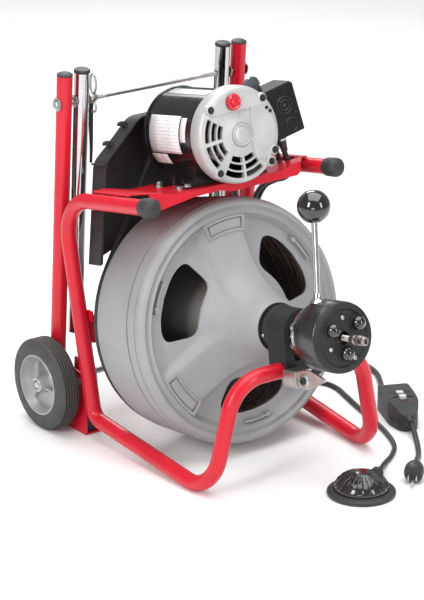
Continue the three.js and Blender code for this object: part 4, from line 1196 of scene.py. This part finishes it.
def addCradle():
    saddle = [(-79, -75.4), (79, -75.4), (79, -72.8), (64, -70), (58, -52), (52, -36), (-52, -36),
              (-58, -52), (-64, -70), (-79, -72.8)]
    body = prism(rounded(saddle, [1, 1, 1, 6, 8, 6, 6, 8, 6, 1], 4), -140, -50)
    waist = [prism(rounded([(-112, y), (-78, y), (-78, y + 24 * g), (-112, y + 24 * g)], 8), -80, -30, "Z")
             for y, g in ((60, 1), (-60, -1))]
    cut = carved(body, rod("X", motor["shellRadius"] + 0.3, -160, 0, 96), *waist)
    nuts = joined(*[shifted(moved(hexHead(5.2, 4), Matrix.Rotation(-math.pi / 2, 4, "Y")), x, y, -72.6)
                    for x in (-133, -57) for y in (-72, 72)])
    addPiece("motorCradle", cut, motorFrame, motorBlack, "frame", "motor_cradle", bevel=0.8,
             extra=[(nuts, zinc)])


def labelPatch(name, low, high, start, end, printed=True):
    radius = motor["shellRadius"] + 0.25
    across, along = 12, 3
    points, faces, spots = [], [], []
    for i in range(along + 1):
        for k in range(across + 1):
            a = math.radians(start + (end - start) * k / across)
            points.append((low + (high - low) * i / along, radius * math.cos(a), radius * math.sin(a)))
            spots.append((i / along, 1 - k / across))
    for i in range(along):
        for k in range(across):
            a = i * (across + 1) + k
            faces.append((a, a + 1, a + across + 2, a + across + 1))
    mesh = bpy.data.meshes.new(name)
    mesh.from_pydata([tuple((motorFrame @ Vector(p)) * toMetres) for p in points], [], faces)
    layer = mesh.uv_layers.new(name="along")
    for loop in mesh.loops:
        layer.data[loop.index].uv = spots[loop.vertex_index]
    mesh.materials.append(labelFilm if printed else platePaint)
    mesh.shade_smooth()
    thing = bpy.data.objects.new(name, mesh)
    bpy.context.scene.collection.objects.link(thing)
    depth = thing.modifiers.new("film", "SOLIDIFY")
    depth.thickness = 0.0002
    depth.offset = 1 if end > start else -1
    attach(thing, "frame")


addMotor()
addCradle()
labelPatch("ratingLabel", -150, -69, 149, 199)
labelPatch("stripLabel", -66, -51, 151, 183)
labelPatch("smallLabel", -154, -112, 201, 217)
labelPatch("topLabel", -148, -44, 98, 112)
print("motor ready")

# switch box

switchBox = {"centre": (-76, 125.5, 92.5), "turn": 11.5, "size": 80, "depth": 48}


def addSwitchBox():
    place = gripFrame @ Matrix.Translation(switchBox["centre"]) @ Matrix.Rotation(
        math.radians(switchBox["turn"]), 4, "X")
    half, front = switchBox["size"] / 2, switchBox["depth"] / 2
    square = rounded([(-half, -half), (half, -half), (half, half), (-half, half)], 2.5, 3)
    body = carved(prism(square, -front, front), prism([(y * 0.94, z * 0.94) for y, z in square],
                                                      -front - 20, front - 3), shifted(rod("Z", 4.5, 0, 60),
                                                                                       -4, -18, 0))
    flange = carved(prism([(y * 1.03, z * 1.03) for y, z in square], -front, -front + 4),
                    prism([(y * 0.93, z * 0.93) for y, z in square], -front - 5, -front + 9))
    rings = []
    for y, z, r in ((14, 10, 14), (14, 10, 8.5), (18, -24, 11)):
        rings.append(shifted(lathe([(front - 0.4, r - 1.1), (front + 1.3, r - 0.5), (front + 1.3, r + 0.5),
                                    (front - 0.4, r + 1.1)], 48, closed=True), 0, y, z))
    stud = joined(shifted(lathe([(front - 1, 0), (front - 1, 3.4), (front + 1.2, 3), (front + 1.6, 0)], 24),
                          0, 14, 10), shifted(boltHead(1.8, 1.2), front, 32, -8))
    necks = [shifted(lathe([(-half - 5.4, 4.6), (-half - 5.4, 8.4), (-half - 2, 9.4), (-half + 1, 9.4),
                            (-half + 1, 4.6)], 8, closed=True, axis="Z"), x, 0, 0) for x in (10, -12)]
    boots = [shifted(lathe([(-half - 24, 4.5), (-half - 24, 5.4), (-half - 4, 7.4), (-half - 4, 4.5)], 24,
                           closed=True, axis="Z"), x, 0, 0) for x in (10, -12)]
    lid = block(-front + 2, front - 2, -half + 2, half - 2, half - 0.2, half + 2.2)
    addPiece("switchCase", body, place, motorBlack, "frame", "switch_box", bevel=0.8,
             extra=[(joined(*rings), satinBlack), (stud, satinBlack), (joined(*necks), zinc),
                    (flange, motorBlack), (joined(*boots), cordRubber),
                    (carved(lid, shifted(rod("Z", 9, 0, 60), -4, -18, 0)), castBlack)])
    dial = shifted(lathe([(half + 0.5, 0), (half + 0.5, 14), (half + 4, 14.6), (half + 10, 13.4),
                          (half + 12, 12), (half + 12, 0)], 40, axis="Z"), -4, -18, 0)
    blade = shifted(prism(rounded([(-16, half + 11), (16, half + 11), (13, half + 24), (4, half + 29),
                                   (-10, half + 25)], [2, 2, 7, 8, 8], 5), -7.5, -0.5), 0, -18, 0)
    spindle = shifted(rod("Z", 4, half - 12, half + 1), -4, -18, 0)
    addPiece("switchDial", dial, place, castBlack, "switch_dial", "switch_knob", bevel=0.6,
             extra=[(blade, smokePlastic), (spindle, zinc)])


addSwitchBox()
print("switch box ready")

# front bearing and power feed

feed = {"radius": 55.5, "back": 200, "front": 264.5, "domes": ((-21, 16), (28, 18), (1, -24)),
        "screws": ((2, 31), (-26, -13), (18, -35)), "rollerRadius": 17.5, "rollerOrbit": 23, "rollerS": 235,
        "rollerAngles": (149, 31, -89), "leverS": 215, "leverShift": -10.8, "leverTurn": -4.8,
        "leverLength": 199.5}


def addFrontBracket():
    wide = 35.2
    arch = [(wide * math.cos(math.radians(a)), wide * math.sin(math.radians(a))) for a in range(0, 181, 6)]
    arch = [(wide, -20)] + arch + [(-wide, -20), (-wide - 2, -46), (-30, -74), (30, -74), (wide + 2, -46)]
    body = prism(rounded(arch, [4] + [1] * 31 + [4, 6, 8, 8, 6], 3), 113.5, 158)
    recess = [(25, -24), (25, 0), *[(25 * math.cos(math.radians(a)),
                                     25 * math.sin(math.radians(a))) for a in range(10, 171, 10)], (-25, 0),
              (-25, -24), (-18, -44), (18, -44)]
    ring = lathe([(102, 25), (102, 35), (103, 37), (107, 37.4), (109, 36.6), (112, 35.6), (114, 35),
                  (114, 25)], 72, closed=True)
    cut = carved(body, rod("X", 30.4, 117, 151, 64), rod("X", 25.2, 90, 140, 64), prism(recess, 146, 170))
    side = moved(boltHead(3, 1.6), Matrix.Translation((106.5, -37.6, -4)) @ Matrix.Rotation(-math.pi / 2, 4,
                                                                                            "Z"))
    addPiece("frontBracket", cut, drumFrame, castBlack, "frame", "front_bracket", bevel=1.4,
             sharp=30, extra=[(ring, castBlack), (side, zinc)])
    sleeve = lathe([(118, 24.6), (118, 30), (150, 30), (150, 27), (149, 26.4), (149, 24.6)], 64, closed=True)
    addPiece("noseBearing", sleeve, drumFrame, zinc, "frame", "front_bearing")
    plate = [(160, 12), (160, 20), (162, 22), (187, 22), (188, 24), (188, 43), (189.5, 45), (196, 45),
             (197, 43), (197, 15.4), (210, 15.4), (210, 12)]
    screwPlate = moved(boltHead(3.4, 1.8), Matrix.Translation((191, -43.6,
                                                               4)) @ Matrix.Rotation(-math.pi / 2, 4, "Z"))
    lobes = joined(*[shifted(rod("X", 8.5, 188.4, 196, 32), 0, 39 * math.cos(math.radians(a)),
                             39 * math.sin(math.radians(a))) for a in (25, 155, 270)])
    addPiece("feedBackPlate", lathe(plate, 96, closed=True), drumFrame, chrome, "frame",
             "feed_back_plate", extra=[(screwPlate, zinc), (lobes, chrome)])
    blockShape = prism(rounded([(-47, -78), (-14, -78), (-14, -51), (-47, -51)], 4), 160, 192)
    arm = prism(rounded([(188, -76), (214, -78), (228, -72), (262, -60), (262, -56), (228, -46), (206, -47),
                         (188, -54)], [2, 6, 6, 2, 2, 4, 6, 2]), -44, -40, "Y")
    washer = moved(lathe([(0, 0), (0, 11.5), (2, 11.5), (2.8, 10.2), (2.8, 0)], 40),
                   Matrix.Translation((212, -43.6, -63)) @ Matrix.Rotation(-math.pi / 2, 4, "Z"))
    bolt = moved(boltHead(6, 5), Matrix.Translation((212, -46, -63)) @ Matrix.Rotation(-math.pi / 2, 4, "Z"))
    addPiece("feedSupport", blockShape, drumFrame, zinc, "frame", "feed_support", bevel=1.2,
             extra=[(arm, zinc), (washer, zinc), (bolt, castBlack)])


def addFeedHead():
    radius, back, front = feed["radius"], feed["back"], feed["front"]
    shell = [(back, 16), (back, 42), (back + 2, 46), (back + 10, radius - 1.2), (back + 13, radius),
             (front - 7.6, radius), (front - 6.6, radius - 0.8), (front - 6.6, 47), (206, 46.8), (206, 16)]
    addPiece("feedHousing", lathe(shell, 128, closed=True), drumFrame, satinBlack, "feed_head",
             "feed_housing", sharp=40)
    disc = [(254, 10.5), (254, 46.4), (front - 6.2, 46.4), (front - 6.2, radius - 0.6),
            (front - 3, radius - 0.9), (front - 1.2, radius - 2), (front - 0.4, radius - 4.4), (front - 0.6,
                                                                                                45.4),
            (front - 1.6, 44.4), (front - 3.4, 43.6), (front - 3.4, 14), (front - 1, 13), (front - 1, 10.5)]
    bosses = joined(*[shifted(lathe([(front - 4, 0), (front - 4, 13.4), (front - 1, 13), (front - 0.6,
                                                                                          11.8),
                                     (front - 0.6, 0)], 36), 0, y, z) for y, z in feed["domes"]])
    domes = joined(*[shifted(lathe([(front - 1, 0), (front - 1, 11.6), (front + 3, 11.8), (front + 7.5,
                                                                                           10.4),
                                    (front + 11, 7.2), (front + 12.8, 3), (front + 13.2, 0)], 36), 0, y,
                             z) for y, z in feed["domes"]])
    screws = joined(*[shifted(boltHead(3.6, 2.4), front - 3, y, z) for y, z in feed["screws"]])
    bore = rod("X", 10.4, 240, 300, 40)
    addPiece("feedFace", lathe(disc, 96, closed=True), drumFrame, castBlack, "feed_head",
             "feed_front_plate", bevel=0.4,
             extra=[(carved(bosses, bore), castBlack), (domes, glossBlack), (screws, zinc)])
    lever = drumFrame @ Matrix.Translation((0, feed["leverShift"], 0)) @ Matrix.Rotation(
        math.radians(feed["leverTurn"]), 4, "X")
    seat = lathe([(radius - 3, 0), (radius - 3, 13), (radius + 0.6, 9.6), (radius + 3, 7.4),
                  (radius + 7, 6), (radius + 12, 5.4), (radius + 12, 0)], 40, axis="Z")
    top = feed["leverLength"]
    stem = lathe([(radius + 6, 0), (radius + 6, 5), (top - 20, 5), (top - 20, 0)], 40, axis="Z")
    addPiece("feedLever", shifted(stem, feed["leverS"], 0, 0), lever, chrome, "feed_head",
             "feed_lever", extra=[(shifted(seat, feed["leverS"], 0, 0), chrome)])
    ball = []
    for i in range(25):
        a = math.pi * i / 24
        ball.append((top - 26 * math.cos(a), 26 * math.sin(a)))
    ball = [(top - 25, 0), (top - 25, 7)] + [p for p in ball if p[1] > 7.5] + [(top + 26, 0)]
    addPiece("feedKnob", shifted(lathe(ball, 72, axis="Z"), feed["leverS"], 0, 0), lever, glossBlack,
             "feed_head", "feed_knob", sharp=60)


def addRollers():
    for i, (angle, body) in enumerate(zip(feed["rollerAngles"], ("roller_a", "roller_b", "roller_c"))):
        a = math.radians(angle)
        r, s, orbit = feed["rollerRadius"], feed["rollerS"], feed["rollerOrbit"]
        y, z = orbit * math.cos(a), orbit * math.sin(a)
        shape = lathe([(s - 13, 6), (s - 13, r - 1), (s - 12, r), (s + 12, r), (s + 13, r - 1),
                       (s + 13, 6)], 64, closed=True)
        core = rod("X", 6, s - 13, s + 13)
        addPiece("feedRoller%d" % (i + 1), shifted(shape, 0, y, z), drumFrame, zinc, body,
                 "feed_roller_%d" % (i + 1), extra=[(shifted(core, 0, y, z), steel)])


addFrontBracket()
addFeedHead()
addRollers()
print("power feed ready")
